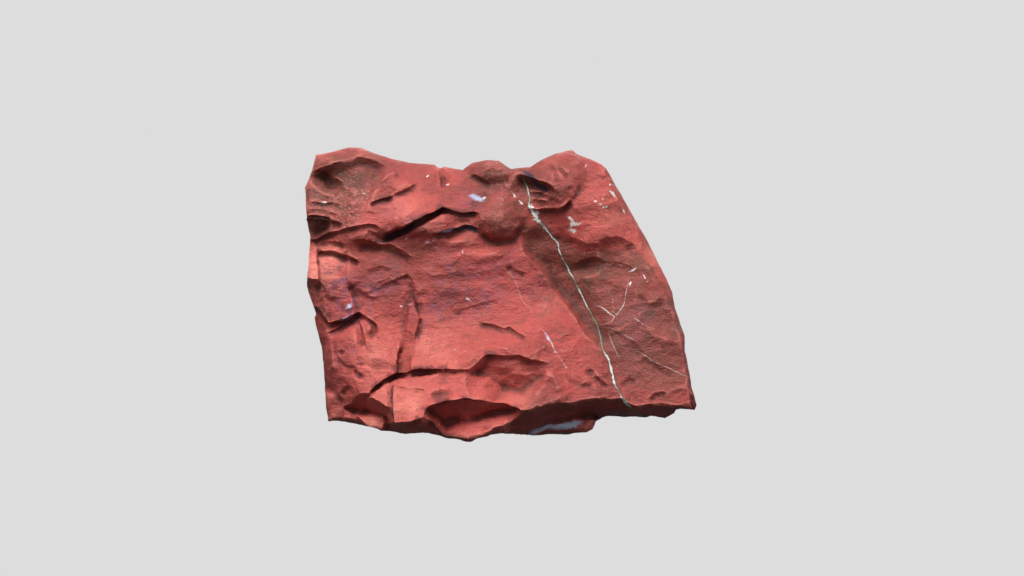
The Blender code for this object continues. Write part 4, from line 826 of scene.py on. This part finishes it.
# The veins, stains and spots, each along its own line across the front, in millimetres across and up.
mainVein = [
    (5.4, 68.3), (7.1, 64.8), (7.3, 62.5), (7.4, 60.2), (9.7, 57.6), (12.6, 53.8), (14.1, 51.5),
    (14.9, 49.5), (19.4, 40.7), (21.4, 36.4), (23.5, 33.2), (25.2, 29.5), (26.1, 25.7), (27.2, 22.2),
    (28.7, 19.3), (29.1, 17.0), (29.8, 14.4), (31.3, 11.0), (33.0, 9.5), (34.5, 8.1), (36.8, 6.0),
    (40.0, -4.0),
]
# Where the main vein is white quartz and where it swells: how far along it, how far that holds, how much.
veinWhite = [
    (0.05, 0.02, 0.6), (0.125, 0.03, 1.0), (0.24, 0.05, 0.9), (0.34, 0.03, 0.6), (0.44, 0.04, 0.6),
    (0.68, 0.05, 1.0), (0.80, 0.02, 0.9),
]
veinSwell = [(0.13, 0.03, 0.35), (0.17, 0.02, 0.2), (0.69, 0.05, 0.15), (0.80, 0.015, 0.3)]
# Each fine vein: its line, its half width and how white it is.
fineVeins = [
    ([(0.8, 44.9), (2.8, 42.6), (3.9, 41.0), (5.4, 37.5), (7.1, 34.9), (8.3, 33.2)], 0.08, 0.3),
    ([(10.9, 28.6), (12.3, 26.2), (14.1, 23.4), (15.0, 22.2)], 0.16, 0.5),
    ([(15.0, 22.2), (17.0, 19.0)], 0.1, 0.4),
    ([(27.8, 27.7), (29.5, 24.0), (30.4, 21.9)], 0.12, 0.4),
    ([(25.8, 34.7), (27.8, 33.2), (29.6, 32.5)], 0.3, 0.9),
    ([(33.0, 41.0), (32.7, 38.1), (31.9, 35.2), (30.1, 32.6), (28.7, 30.8), (27.0, 30.2)], 0.15, 0.55),
    ([(27.8, 29.2), (31.9, 27.4), (35.0, 25.7)], 0.1, 0.35),
    ([(35.0, 23.1), (37.6, 21.6), (39.1, 20.5), (42.8, 19.0), (45.1, 17.9), (48.3, 16.2)], 0.13, 0.45),
    ([(35.0, 31.8), (37.3, 30.3)], 0.2, 0.7),
    ([(-51.4, 57.7), (-47.0, 57.8), (-43.6, 57.0)], 0.3, 0.4),
]
# Each white spot: where it is, its half length and half width, and its turn in degrees.
spots = [
    ((18.9, 56.1), 0.9, 0.5, 0), ((18.2, 57.0), 1.1, 0.45, -52), ((19.8, 56.3), 1.0, 0.4, 5),
    ((18.2, 55.6), 0.9, 0.4, 50), ((18.9, 54.5), 0.7, 0.5, 0), ((27.3, 60.7), 0.8, 0.35, 15),
    ((25.8, 61.6), 0.6, 0.25, -40), ((8.2, 60.4), 0.9, 0.5, -70), ((9.6, 59.0), 0.9, 0.5, -40),
    ((9.0, 57.6), 0.6, 0.3, 20), ((29.1, 64.1), 1.1, 0.4, -60), ((27.4, 60.6), 0.5, 0.3, 0),
    ((24.4, 62.5), 0.4, 0.3, 0), ((31.9, 59.5), 1.1, 0.3, -65), ((28.4, 66.4), 0.4, 0.3, 0),
    ((29.5, 66.3), 0.35, 0.3, 0), ((26.2, 62.9), 0.35, 0.25, 0), ((27.2, 63.1), 0.35, 0.25, 0),
    ((22.2, 53.3), 0.9, 0.25, -35), ((31.0, 53.1), 0.35, 0.25, 0), ((32.0, 53.0), 0.3, 0.25, 0),
    ((33.6, 53.6), 0.4, 0.25, 0), ((21.5, 48.4), 0.5, 0.3, 20), ((23.8, 49.5), 0.4, 0.25, 0),
    ((21.9, 71.2), 0.7, 0.25, 60), ((-4.3, 62.9), 0.5, 0.4, 0), ((-13.7, 66.4), 0.5, 0.3, 0),
    ((3.4, 63.6), 0.6, 0.3, -50), ((5.0, 61.6), 0.8, 0.25, -60), ((-18.8, 68.6), 0.5, 0.25, 30),
    ((-0.6, 69.0), 0.5, 0.3, -60), ((-23.7, 60.9), 0.5, 0.3, 0), ((-9.9, 48.8), 0.3, 0.6, 10),
    ((-8.6, 36.4), 0.8, 0.3, -30), ((-26.0, 34.5), 0.5, 0.25, 0), ((-23.5, 35.5), 0.5, 0.25, 30),
    ((33.5, 40.8), 0.6, 0.3, 70), ((34.6, 44.2), 1.4, 0.25, 20), ((37.6, 42.0), 1.6, 0.22, -60),
    ((-46.0, 61.8), 0.8, 0.3, 20), ((-30.6, 36.8), 0.3, 0.2, 0), ((-15.0, 53.0), 0.6, 0.2, 0),
]
# Blue-white glints, in the same terms: painted glints, partly on blue quartz.
glints = [
    ((-6.8, 63.3), 2.6, 0.95, -28), ((-39.4, 34.6), 1.2, 0.75, 40), ((-40.6, 31.4), 2.6, 0.35, 14),
    ((12.0, 26.4), 1.7, 0.4, -62), ((14.0, 23.4), 0.9, 0.3, -62), ((17.0, 19.0), 0.5, 0.3, 0),
    ((9.0, 2.3), 2.8, 0.8, 22), ((16.4, 3.7), 5.2, 1.1, 10), ((12.0, 3.1), 3.0, 0.8, 16),
    ((-19.0, 51.6), 1.6, 0.25, 18), ((-24.8, 52.0), 1.2, 0.25, 24),
]
# Blue-black laid into the slots, partly a dark mineral and partly painted shade where the slots lie deep: its
# line and half width.
slotFillAndShade = [
    ([(-32.0, 51.4), (-29.0, 52.3), (-24.8, 54.5), (-21.4, 56.2)], 0.7),
    ([(-17.2, 53.4), (-12.3, 55.0), (-8.4, 55.4), (-5.6, 53.6)], 0.75),
    ([(-28.2, 14.6), (-28.4, 9.0), (-28.0, 5.0)], 0.34),
    ([(5.2, 70.4), (8.6, 67.2), (12.6, 64.4)], 1.0),
]
# The dull face right of the leaning slab: a browner face, darkened further with painted shade where it turns
# from the light.
dullShadedFace = [
    (4.4, 55.0), (6.4, 48.4), (8.2, 46.3), (10.4, 44.2), (12.8, 40.3), (16.7, 35.6), (19.3, 31.2),
    (22.1, 27.2), (25.2, 24.4), (29.0, 21.4), (31.0, 16.0), (38.0, 13.0), (52.0, 13.0), (50.0, 26.0),
    (48.0, 33.0), (44.0, 40.0), (40.4, 43.3), (36.8, 48.6), (33.9, 50.4), (28.4, 50.4), (22.6, 49.8),
    (18.0, 51.4), (12.0, 57.0),
]
# How the marks meet the surface, in millimetres and in shares of a line.
stain = {
    "frontFrom": -4.0,
    "frontTo": 3.0,
    "wander": 0.35,
    "wanderSize": 3.0,
    "veinHalf": 0.16,
    "farVein": 4.0,
    "farSpot": 4.0,
    "farLine": 9.0,
    "fineEnds": 0.2,
    "slotEnds": 0.15,
    "slotCore": 0.2,
    "dullBorder": (-1.5, 2.6),
    "tintSpread": 0.6,
    "sharpest": 2.0,
}
# Broad changes of colour: where, how far, and how strong, for each tint. Besides the stone's own colour, the
# dark, brown and green tints carry painted shade in hollows, recesses, undersides and on top rims, and the
# bright and pale tints carry painted light on lit faces and on ledges left in shade.
tints = {
    "brown": [((-44, 67), 8, 1.0), ((-37, 69), 7, 0.9), ((-47, 60), 6, 0.9), ((-47.5, 55.4), 3.4, 1.0),
              ((-21, 55.5), 3, 0.5), ((-33, 52), 4, 0.6), ((-26, 46), 4, 0.5), ((9, 66), 6, 0.9),
              ((-3, 68), 6, 0.8), ((24, 44), 5, 0.9), ((0, 58), 6.5, 0.9), ((-8, 55), 4, 0.6),
              ((15, 46), 6, 0.4), ((17, 68), 6, 0.5), ((12, 54), 4, 0.2), ((20, 38), 4, 0.6),
              ((36, 44), 5, 0.5), ((-50, 20), 5, 0.7), ((-42, 11), 4, 0.5), ((30, 26), 6, 0.4),
              ((10, 4), 10, 0.3), ((30, 7), 10, 0.3), ((-30, 50), 5, 0.4), ((-16, 42), 8, 0.25),
              ((40, 24), 7, 0.3)],
    "dark": [((3, 74), 5, 0.8), ((-24, 71), 6, 0.4), ((-41, 75), 6, 0.5), ((-2, 74), 6, 0.8),
             ((22, 74), 6, 0.6), ((-22, 70), 5, 0.4), ((-52, 64), 6, 1.0), ((-30, 72), 6, 0.45),
             ((-19, 69), 5, 0.4), ((-5, 71), 7, 0.75), ((9, 68), 6, 0.75), ((18, 72), 7, 0.55),
             ((31, 69), 6, 0.5), ((-6, 64), 6, 0.3), ((-49, 66), 7, 1.0), ((-43, 67), 6, 0.8),
             ((33, 34), 9, 0.5), ((-8, 26), 8, 0.35), ((0, 60), 6, 0.5), ((-50, 18), 5, 0.4),
             ((-49, 10), 6, 0.6), ((45, 26), 9, 0.5), ((36, 20), 8, 0.4), ((-37, 66), 6, 0.55),
             ((24, 34), 7, 0.4), ((-4, 32), 6, 0.25), ((27, 24), 7, 0.35)],
    "bright": [((-14, 18), 7, 0.8), ((-14, 10), 5, 0.8), ((-46, 42), 6, 0.9), ((2, 10), 5, 0.7),
               ((-33, 55), 5, 0.6), ((24, 53), 7, 0.8), ((-25, 59), 6, 0.8), ((-34, 20), 6, 0.9),
               ((-5, 4), 6, 0.9), ((44, 44), 6, 0.5), ((-14, 24), 11, 0.7), ((0, 30), 8, 0.4),
               ((-30, 27), 7, 0.6), ((-24, 10), 6, 0.9), ((-8, 13), 9, 0.6), ((-32, 12), 6, 0.7),
               ((-25, 62), 8, 0.4), ((26, 64), 7, 0.5), ((-48, 44), 6, 1.0), ((15, 16), 7, 0.3),
               ((-36, 16), 6, 0.8), ((15, 51), 5, 1.0), ((23, 49), 6, 0.9), ((33, 50), 5, 0.6),
               ((13, 57), 4, 0.7), ((-36, 50), 6, 0.5), ((-26, 51), 6, 0.5), ((-5, 20), 5, 0.8),
               ((5, 17), 5, 0.8)],
    "pale": [((-47, 41), 5, 0.9), ((-49.5, 46), 3.6, 1.0), ((-45.5, 44), 4, 0.9),
             ((-43.5, 48), 4, 0.9), ((-24, 9.5), 5, 0.7), ((-18, 24), 6, 0.5), ((-33, 22), 5, 0.4),
             ((-32, 13), 4, 0.5), ((40, 47), 4, 0.5), ((30, 58), 5, 0.4), ((6, 11), 4, 0.5),
             ((-33, 4.5), 3, 0.7), ((12, 36), 4, 0.3), ((-26, 61), 5, 0.3)],
    "purple": [((-39, 36), 5, 1.0), ((-42, 42), 4, 1.0), ((-34, 38.5), 4, 1.0), ((-38, 33), 3, 1.0),
               ((-14, 43), 6, 0.6), ((-22, 56), 4, 0.6), ((-8, 63), 4, 0.5), ((-45, 40), 4, 0.5),
               ((-28, 58), 5, 0.4), ((-6, 38), 7, 0.6), ((1, 45), 5, 0.5), ((-18, 34), 6, 0.6),
               ((-38, 22), 6, 0.4), ((-30, 42), 5, 0.4), ((34, 30), 7, 0.3), ((-10, 10), 5, 0.3),
               ((10, 40), 5, 0.3)],
    "speckle": [((-45, 60), 6, 1.0), ((-37, 63), 6, 1.0), ((-40, 58), 6, 0.7), ((-18, 52), 5, 0.6),
                ((-14, 24), 8, 0.5), ((-24, 9), 5, 0.5), ((4, 64), 5, 0.7), ((0, 69), 5, 0.6),
                ((26, 62), 7, 0.5), ((-1, 58), 5, 0.5), ((-6, 34), 6, 0.4), ((-30, 24), 6, 0.5),
                ((24, 17), 6, 0.4), ((36, 14), 6, 0.4)],
    "green": [((-47, 66), 6, 0.5), ((-38, 68), 6, 0.25), ((3, 73), 5, 0.4), ((38.8, 32.9), 2.2, 0.7),
              ((46, 28.9), 2.0, 0.8), ((42.5, 34.7), 2.0, 0.5)],
}


def seenFlat(places, shift):
    # Where the viewer sees each point of the stone, across and up.
    back = places * 1000.0 - shift
    sine, cosine = math.sin(stone["viewTilt"]), math.cos(stone["viewTilt"])
    lifted = back[:, 2] + stone["footReach"] * sine
    up = back[:, 1] * sine + lifted * cosine
    near = lifted * sine - back[:, 1] * cosine
    share = 1.0 - near / stone["viewDistance"]
    aim = stone["viewAim"]
    return aim[0] + (back[:, 0] - aim[0]) / share, aim[1] + (up - aim[1]) / share, near


def ridges(mesh, points):
    # How sharply the surface bends at each point: above 0 on an edge, below 0 in a crevice.
    ends = np.zeros(2 * len(mesh.edges), np.int32)
    mesh.edges.foreach_get("vertices", ends)
    first, second = ends.reshape(-1, 2).T
    normals = np.zeros(3 * len(mesh.vertices))
    mesh.vertices.foreach_get("normal", normals)
    normals = normals.reshape(-1, 3)
    step = (points[second] - points[first]) * 1000.0
    length = np.maximum((step**2).sum(axis=1), 0.01)
    bend = ((normals[second] - normals[first]) * step).sum(axis=1) / length
    count = np.bincount(ends, minlength=len(points))
    total = np.bincount(first, bend, len(points)) + np.bincount(second, bend, len(points))
    bend = np.clip(total / count, -stain["sharpest"], stain["sharpest"])
    for _ in range(stone["ridgeRounds"]):
        total = np.bincount(first, bend[second], len(points))
        total = total + np.bincount(second, bend[first], len(points))
        bend = 0.5 * bend + 0.5 * total / count
    return bend


def stainMesh(mesh, shift):
    # Stores, for each point, how far it is from each vein and spot and how much of each tint it has.
    places = np.zeros(len(mesh.vertices) * 3)
    mesh.vertices.foreach_get("co", places)
    places = places.reshape(-1, 3)
    x, w, near = seenFlat(places, shift)
    front = smoothstep(stain["frontFrom"], stain["frontTo"], near)
    flat = np.stack([x, w, np.zeros(len(x))], axis=1)
    x = x + stain["wander"] * layeredNoise(flat, stain["wanderSize"], 2, 401)
    w = w + stain["wander"] * layeredNoise(flat, stain["wanderSize"], 2, 411)

    def store(name, *values):
        for ending, one in zip(("", "Half", "White"), values):
            kept = mesh.attributes.new(name + ending, "FLOAT", "POINT")
            kept.data.foreach_set("value", one.astype(np.float32))

    away, side, along = locate(mainVein, x, w)
    store("vein", np.clip(away, 0.0, stain["farVein"]) * side)
    store("veinHalf", stain["veinHalf"] + swells(veinSwell, along))
    store("veinWhite", swells(veinWhite, along))
    store("fine", *nearestLine(fineVeins, x, w))
    store("slot", front * (1.0 - smoothstep(stain["slotCore"], 1.0, nearestSlot(x, w))))
    behind = stain["farSpot"] * (1.0 - front)
    store("spot", nearestSpot(spots, x, w) + behind)
    store("glint", nearestSpot(glints, x, w) + behind)
    store("dull", front * smoothstep(*stain["dullBorder"], depthInside(dullShadedFace, x, w)))
    store("ridge", ridges(mesh, places))
    store("front", front)
    for name, marks in tints.items():
        keep = np.ones(len(x))
        for at, size, strength in marks:
            spread = 2.0 * (stain["tintSpread"] * size) ** 2
            keep *= 1.0 - strength * np.exp(-((x - at[0]) ** 2 + (w - at[1]) ** 2) / spread)
        store(name, front * (1.0 - keep))


def swells(marks, along):
    total = np.zeros(len(along))
    for at, reach, strength in marks:
        total = np.maximum(total, strength * np.exp(-(((along - at) / reach) ** 2)))
    return total


def nearestLine(lines, x, w):
    # Signed distance to the nearest line, its half width with pointed ends, and how white it is.
    nearest = np.full(len(x), stain["farLine"])
    found = np.zeros((3, len(x)))
    for path, half, strength in lines:
        away, side, along = locate(path, x, w)
        taper = endFade(along, stain["fineEnds"])
        closer = away < nearest
        here = [away * side, half * (0.25 + 0.75 * taper), np.full(len(x), strength)]
        found = np.where(closer, here, found)
        nearest = np.minimum(nearest, away)
    return found


def nearestSlot(x, w):
    nearest = np.full(len(x), stain["farLine"])
    for path, half in slotFillAndShade:
        away, _, along = locate(path, x, w)
        taper = endFade(along, stain["slotEnds"])
        nearest = np.minimum(nearest, away / (half * (0.2 + 0.8 * taper)))
    return nearest


def nearestSpot(marks, x, w):
    nearest = np.full(len(x), stain["farSpot"])
    for at, length, width, turn in marks:
        c, s = math.cos(math.radians(turn)), math.sin(math.radians(turn))
        dx, dw = x - at[0], w - at[1]
        nearest = np.minimum(nearest, np.hypot((c * dx + s * dw) / length, (c * dw - s * dx) / width))
    return nearest


# The size of each pattern in the stone, as noise or cell scales: a larger value is finer.
pattern = {
    "turn": 0.28,
    "stretch": (0.5, 1.0, 1.0),
    "broad": 55.0,
    "mottle": 260.0,
    "streaks": 330.0,
    "lilac": 420.0,
    "chips": 420.0,
    "ragged": 520.0,
    "dusty": 620.0,
    "flecks": 700.0,
    "glints": 700.0,
    "wisps": 900.0,
    "torn": 1100.0,
    "fine": 1300.0,
    "crumbs": 1300.0,
    "grain": 3600.0,
}
# The stone's colours as linear light, its gloss and its bump.
chert = {
    "red": (0.475, 0.071, 0.061, 1.0),
    "brightRed": (0.63, 0.116, 0.094, 1.0),
    "darkRed": (0.27, 0.042, 0.037, 1.0),
    "paleRed": (0.80, 0.245, 0.185, 1.0),
    "dullRed": (0.31, 0.060, 0.047, 1.0),
    "brown": (0.14, 0.050, 0.034, 1.0),
    "purple": (0.24, 0.082, 0.130, 1.0),
    "green": (0.075, 0.065, 0.050, 1.0),
    "blueBlack": (0.035, 0.030, 0.050, 1.0),
    "wisp": (0.74, 0.46, 0.38, 1.0),
    "dust": (0.50, 0.17, 0.14, 1.0),
    "olive": (0.13, 0.075, 0.045, 1.0),
    "worn": (0.66, 0.190, 0.150, 1.0),
    "crevice": (0.10, 0.028, 0.024, 1.0),
    "quartz": (0.80, 0.78, 0.72, 1.0),
    "whiteSpot": (0.96, 0.93, 0.90, 1.0),
    "greyQuartz": (0.28, 0.250, 0.180, 1.0),
    "blueQuartz": (0.54, 0.60, 0.80, 1.0),
    "speck": (0.80, 0.36, 0.26, 1.0),
    "roughness": 0.42,
    "specular": 0.34,
    "bumpStrength": 0.9,
    "bumpDistance": 0.0008,
}


def chertMaterial():
    material = bpy.data.materials.new("chertSkin")
    material.use_nodes = True
    material.node_tree.nodes.clear()
    t = Tree(material.node_tree)
    place = t.add("ShaderNodeTexCoord").outputs["Object"]
    stretched = t.add("ShaderNodeMapping", {}, Vector=place, Rotation=(0.0, pattern["turn"], 0.0),
                      Scale=pattern["stretch"]).outputs[0]
    broad = t.noise(place, pattern["broad"], 4.0, 0.6)
    mottle = t.noise(place, pattern["mottle"], 5.0, 0.65, 0.6)
    fine = t.noise(stretched, pattern["fine"], 3.0, 0.7, 0.3)
    grain = t.noise(place, pattern["grain"], 2.0, 0.6)
    # The bright tint: partly lighter stone, partly painted light on lit faces and on ledges left in shade.
    bright = t.attribute("bright")
    streaks = t.noise(stretched, pattern["streaks"], 4.0, 0.65, 0.8)
    shade = t.between(broad + mottle * 0.45 - bright * 0.25, 0.64, 0.88)
    colour = t.mix(shade, chert["red"], chert["darkRed"])
    colour = t.mix(t.between(streaks - bright * 0.06, 0.53, 0.66) * 0.55, colour, chert["brown"])
    colour = t.mix(t.between(streaks, 0.44, 0.34) * 0.35, colour, chert["brightRed"])
    colour = t.mix(bright * t.between(mottle + fine * 0.4, 0.45, 0.9), colour, chert["brightRed"])
    # The dark tint: partly darker stone, partly painted shade in hollows and on top rims.
    colour = t.mix(t.attribute("dark") * 0.85, colour, chert["darkRed"])
    # The pale tint: partly pale speckled stone, partly a painted highlight on the lit block at the left.
    pale = t.attribute("pale") * t.between(mottle + fine * 0.5, 0.40, 0.95)
    colour = t.mix(pale * 1.2, colour, chert["paleRed"])
    # The dull face: a browner face, darkened further with painted shade.
    dull = t.between(t.attribute("dull") + mottle * 0.8 - bright * 0.35, 0.55, 0.95)
    colour = t.mix(dull * t.between(broad + fine * 0.3, 0.30, 0.70) * 0.9, colour, chert["dullRed"])
    # The brown tint: partly brown stain, partly painted shade in hollows, recesses and undersides.
    brown = t.attribute("brown") + dull * 0.4
    colour = t.mix(brown * t.between(mottle * 0.8 + fine * 0.5, 0.42, 0.78), colour, chert["brown"])
    purple = t.attribute("purple")
    lilac = t.between(t.noise(place, pattern["lilac"], 3.0, 0.6), 0.42, 0.62)
    colour = t.mix(purple * lilac, colour, chert["purple"])
    # The green tint: partly green-grey stain, partly painted shade in the top left hollow and on the top rim.
    colour = t.mix(t.attribute("green") * t.between(fine, 0.3, 0.6), colour, chert["green"])
    speckle = t.attribute("speckle")
    dusty = t.noise(place, pattern["dusty"], 4.0, 0.7, 0.5)
    dust = t.between(dusty + speckle * 0.06, 0.57, 0.70)
    colour = t.mix(dust * (speckle * 0.3 + 0.22), colour, chert["dust"])
    colour = t.mix(t.between(dusty, 0.42, 0.33) * 0.4, colour, chert["olive"])
    crumbs = t.cells(place, pattern["crumbs"])
    speck = t.between(crumbs + fine * 0.5 - speckle * 0.04, 0.50, 0.30)
    speck = speck * t.between(mottle + speckle * 0.3, 0.48, 0.70)
    colour = t.mix(speck * (speckle * 0.45 + 0.22), colour, chert["speck"])
    wisps = t.noise(stretched, pattern["wisps"], 5.0, 0.75, 1.2)
    wisps = t.between(wisps + speckle * 0.06, 0.60, 0.74)
    colour = t.mix(wisps * (speckle * 0.75 + 0.15), colour, chert["wisp"])
    colour = t.mix(t.between(grain, 0.54, 0.68) * 0.30, colour, chert["dust"])
    colour = t.mix(t.between(grain, 0.46, 0.32) * 0.30, colour, chert["darkRed"])
    flecks = t.between(t.cells(place, pattern["flecks"]) + fine * 0.5, 0.46, 0.28)
    flecks = flecks * t.between(mottle, 0.42, 0.62)
    colour = t.mix(flecks * 0.6, colour, chert["brown"])
    pits = t.between(fine + grain * 0.3, 0.50, 0.34)
    colour = t.mix(pits * 0.45, colour, chert["darkRed"])
    ridge = t.attribute("ridge")
    # Lighter on sharp edges: partly worn edges, partly a painted highlight.
    colour = t.mix(t.between(ridge + fine * 0.4, 0.30, 0.66) * 0.5, colour, chert["worn"])
    # Painted shade: darker in creases and crevices, where the surface bends in.
    colour = t.mix(t.between(ridge - fine * 0.4, -0.26, -0.62) * 0.75, colour, chert["crevice"])
    back = 1.0 - t.attribute("front")
    colour = t.mix(back * t.between(broad + mottle * 0.3, 0.58, 0.80) * 0.7, colour, chert["brown"])
    vein = t.math("ABSOLUTE", t.attribute("vein"))
    ragged = t.noise(place, pattern["ragged"], 4.0, 0.8)
    torn = t.noise(place, pattern["torn"], 4.0, 0.8)
    half = t.attribute("veinHalf") * (ragged * 3.0 + torn * 3.4 - 2.3)
    border = t.between(vein - half, 0.55, 0.05)
    colour = t.mix(border * 0.75, colour, chert["green"])
    streak = t.between(vein - half, 0.10, -0.08)
    whiter = t.between(t.attribute("veinWhite") + ragged * 0.9, 0.62, 0.95)
    colour = t.mix(streak, colour, t.mix(whiter, chert["greyQuartz"], chert["quartz"]))
    fineHalf = t.attribute("fineHalf") * (ragged * 3.6 - 1.3)
    fineVein = t.math("ABSOLUTE", t.attribute("fine")) - fineHalf
    colour = t.mix(t.between(fineVein, 0.09, -0.05) * t.attribute("fineWhite"), colour, chert["quartz"])
    spot = t.between(t.attribute("spot") + torn * 2.8, 2.6, 1.8)
    colour = t.mix(spot * 0.95, colour, chert["whiteSpot"])
    # Painted glints: blue-white highlights, partly blue quartz.
    sparkle = t.noise(stretched, pattern["glints"], 4.0, 0.75)
    glint = t.between(t.attribute("glint") + sparkle * 2.2, 2.2, 1.5)
    colour = t.mix(glint * 0.9, colour, chert["blueQuartz"])
    # Painted shade: blue-black laid into the deep slots, partly a dark mineral.
    slot = t.attribute("slot")
    colour = t.mix(slot * t.between(mottle + slot, 0.6, 1.0), colour, chert["blueBlack"])
    chips = t.cells(place, pattern["chips"])
    height = mottle * 0.8 + fine * 0.65 + grain * 0.30 + chips * 0.22
    bump = t.add("ShaderNodeBump", {}, Strength=chert["bumpStrength"],
                 Distance=chert["bumpDistance"], Height=height).outputs[0]
    rough = fine * 0.3 + mottle * 0.2 + (chert["roughness"] - 0.22)
    shader = t.add("ShaderNodeBsdfPrincipled", {}, BaseColor=colour, Roughness=rough, Metallic=0.0,
                   Normal=bump, SpecularIORLevel=chert["specular"])
    output = t.tree.nodes.new("ShaderNodeOutputMaterial")
    t.tree.links.new(shader.outputs[0], output.inputs[0])
    return material


def buildStone():
    body, shift = stoneMesh()
    mesh = bake(body, chertMaterial())
    points = np.zeros(len(mesh.vertices) * 3)
    mesh.vertices.foreach_get("co", points)
    points = np.clip(points.reshape(-1, 3), np.array(cadLow), np.array(cadHigh))
    mesh.vertices.foreach_set("co", points.ravel())
    mesh.update()
    mesh.shade_smooth()
    mesh.set_sharp_from_angle(angle=stone["sharpAngle"])
    stainMesh(mesh, shift)
    piece = bpy.data.objects.new("chertStone", mesh)
    bpy.context.scene.collection.objects.link(piece)
    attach(piece, "root")
    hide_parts("chert_stone")
    print("stone:", len(mesh.polygons), "faces")
    return shift


# The floor, the sky and the lamps of a plain pale studio.
studio = {
    "pale": (0.723, 0.723, 0.723, 1.0),
    "floorGlow": 0.08,
    "skyGlow": 0.27,
    "floorSize": 6.0,
    "exposure": 0.0,
    "lampAim": (0.0, 0.0, 0.038),
    "lamps": [
        # name, place, size, watts: each aims at the middle of the stone.
        ("topLamp", (-0.12, -0.36, 0.74), 0.55, 9.0),
        ("frontLamp", (-0.30, -0.90, 0.45), 0.5, 1.1),
        ("rightLamp", (0.70, -0.05, 0.30), 0.4, 1.4),
        ("backLamp", (0.20, 0.85, 0.45), 0.5, 2.4),
    ],
}


def glow(name, owner, forCamera, forLight):
    # Shows one even tone to the camera and throws only a share of it on the stone.
    t = Tree(owner.node_tree)
    t.tree.nodes.clear()
    camera = Value(t, t.tree.nodes.new("ShaderNodeLightPath").outputs["Is Camera Ray"])
    strength = camera * (forCamera - forLight) + forLight
    kind, last = ("ShaderNodeBackground", "ShaderNodeOutputWorld") if name == "sky" else (
        "ShaderNodeEmission", "ShaderNodeOutputMaterial")
    light = t.add(kind, {}, Color=(1.0, 1.0, 1.0, 1.0), Strength=strength)
    t.tree.links.new(light.outputs[0], t.tree.nodes.new(last).inputs[0])


def buildStudio():
    world = bpy.data.worlds.new("sky")
    world.use_nodes = True
    glow("sky", world, studio["pale"][0], studio["skyGlow"])
    bpy.context.scene.world = world
    half = studio["floorSize"]
    mesh = bpy.data.meshes.new("floor")
    corners = [(-half, -half, 0), (half, -half, 0), (half, half, 0), (-half, half, 0)]
    mesh.from_pydata(corners, [], [(0, 1, 2, 3)])
    pale = bpy.data.materials.new("paleFloor")
    pale.use_nodes = True
    glow("floor", pale, studio["pale"][0], studio["floorGlow"])
    mesh.materials.append(pale)
    floor = bpy.data.objects.new("floor", mesh)
    bpy.context.scene.collection.objects.link(floor)
    for name, where, size, watts in studio["lamps"]:
        lamp = bpy.data.lights.new(name, "AREA")
        lamp.shape = "DISK"
        lamp.size = size
        lamp.energy = watts
        shown = bpy.data.objects.new(name, lamp)
        bpy.context.scene.collection.objects.link(shown)
        turnTo(shown, where, studio["lampAim"])
    scene = bpy.context.scene
    scene.view_settings.view_transform = "Standard"
    scene.view_settings.exposure = studio["exposure"]
    print("studio: floor, sky and", len(studio["lamps"]), "lamps")


def turnTo(thing, where, aim):
    thing.location = where
    thing.rotation_euler = (Vector(aim) - Vector(where)).to_track_quat("-Z", "Y").to_euler()


# The viewer's lens, which takes in 30 degrees from side to side.
viewer = {"sensorWidth": 36.0, "halfView": math.radians(15.0), "nearest": 0.01}


def buildCamera(shift):
    # The viewer stands where every line of sight of the front relief meets.
    camera = bpy.data.cameras.new("viewer")
    camera.sensor_width = viewer["sensorWidth"]
    camera.lens = viewer["sensorWidth"] / 2.0 / math.tan(viewer["halfView"])
    shown = bpy.data.objects.new("viewer", camera)
    bpy.context.scene.collection.objects.link(shown)
    aim = stone["viewAim"]
    eye = (place(aim[0], aim[1], stone["viewDistance"]) + shift) * 0.001
    seen = (place(aim[0], aim[1], 0.0) + shift) * 0.001
    turnTo(shown, tuple(eye), tuple(seen))
    camera.clip_start = viewer["nearest"]
    bpy.context.scene.camera = shown


shift = buildStone()
buildStudio()
buildCamera(shift)
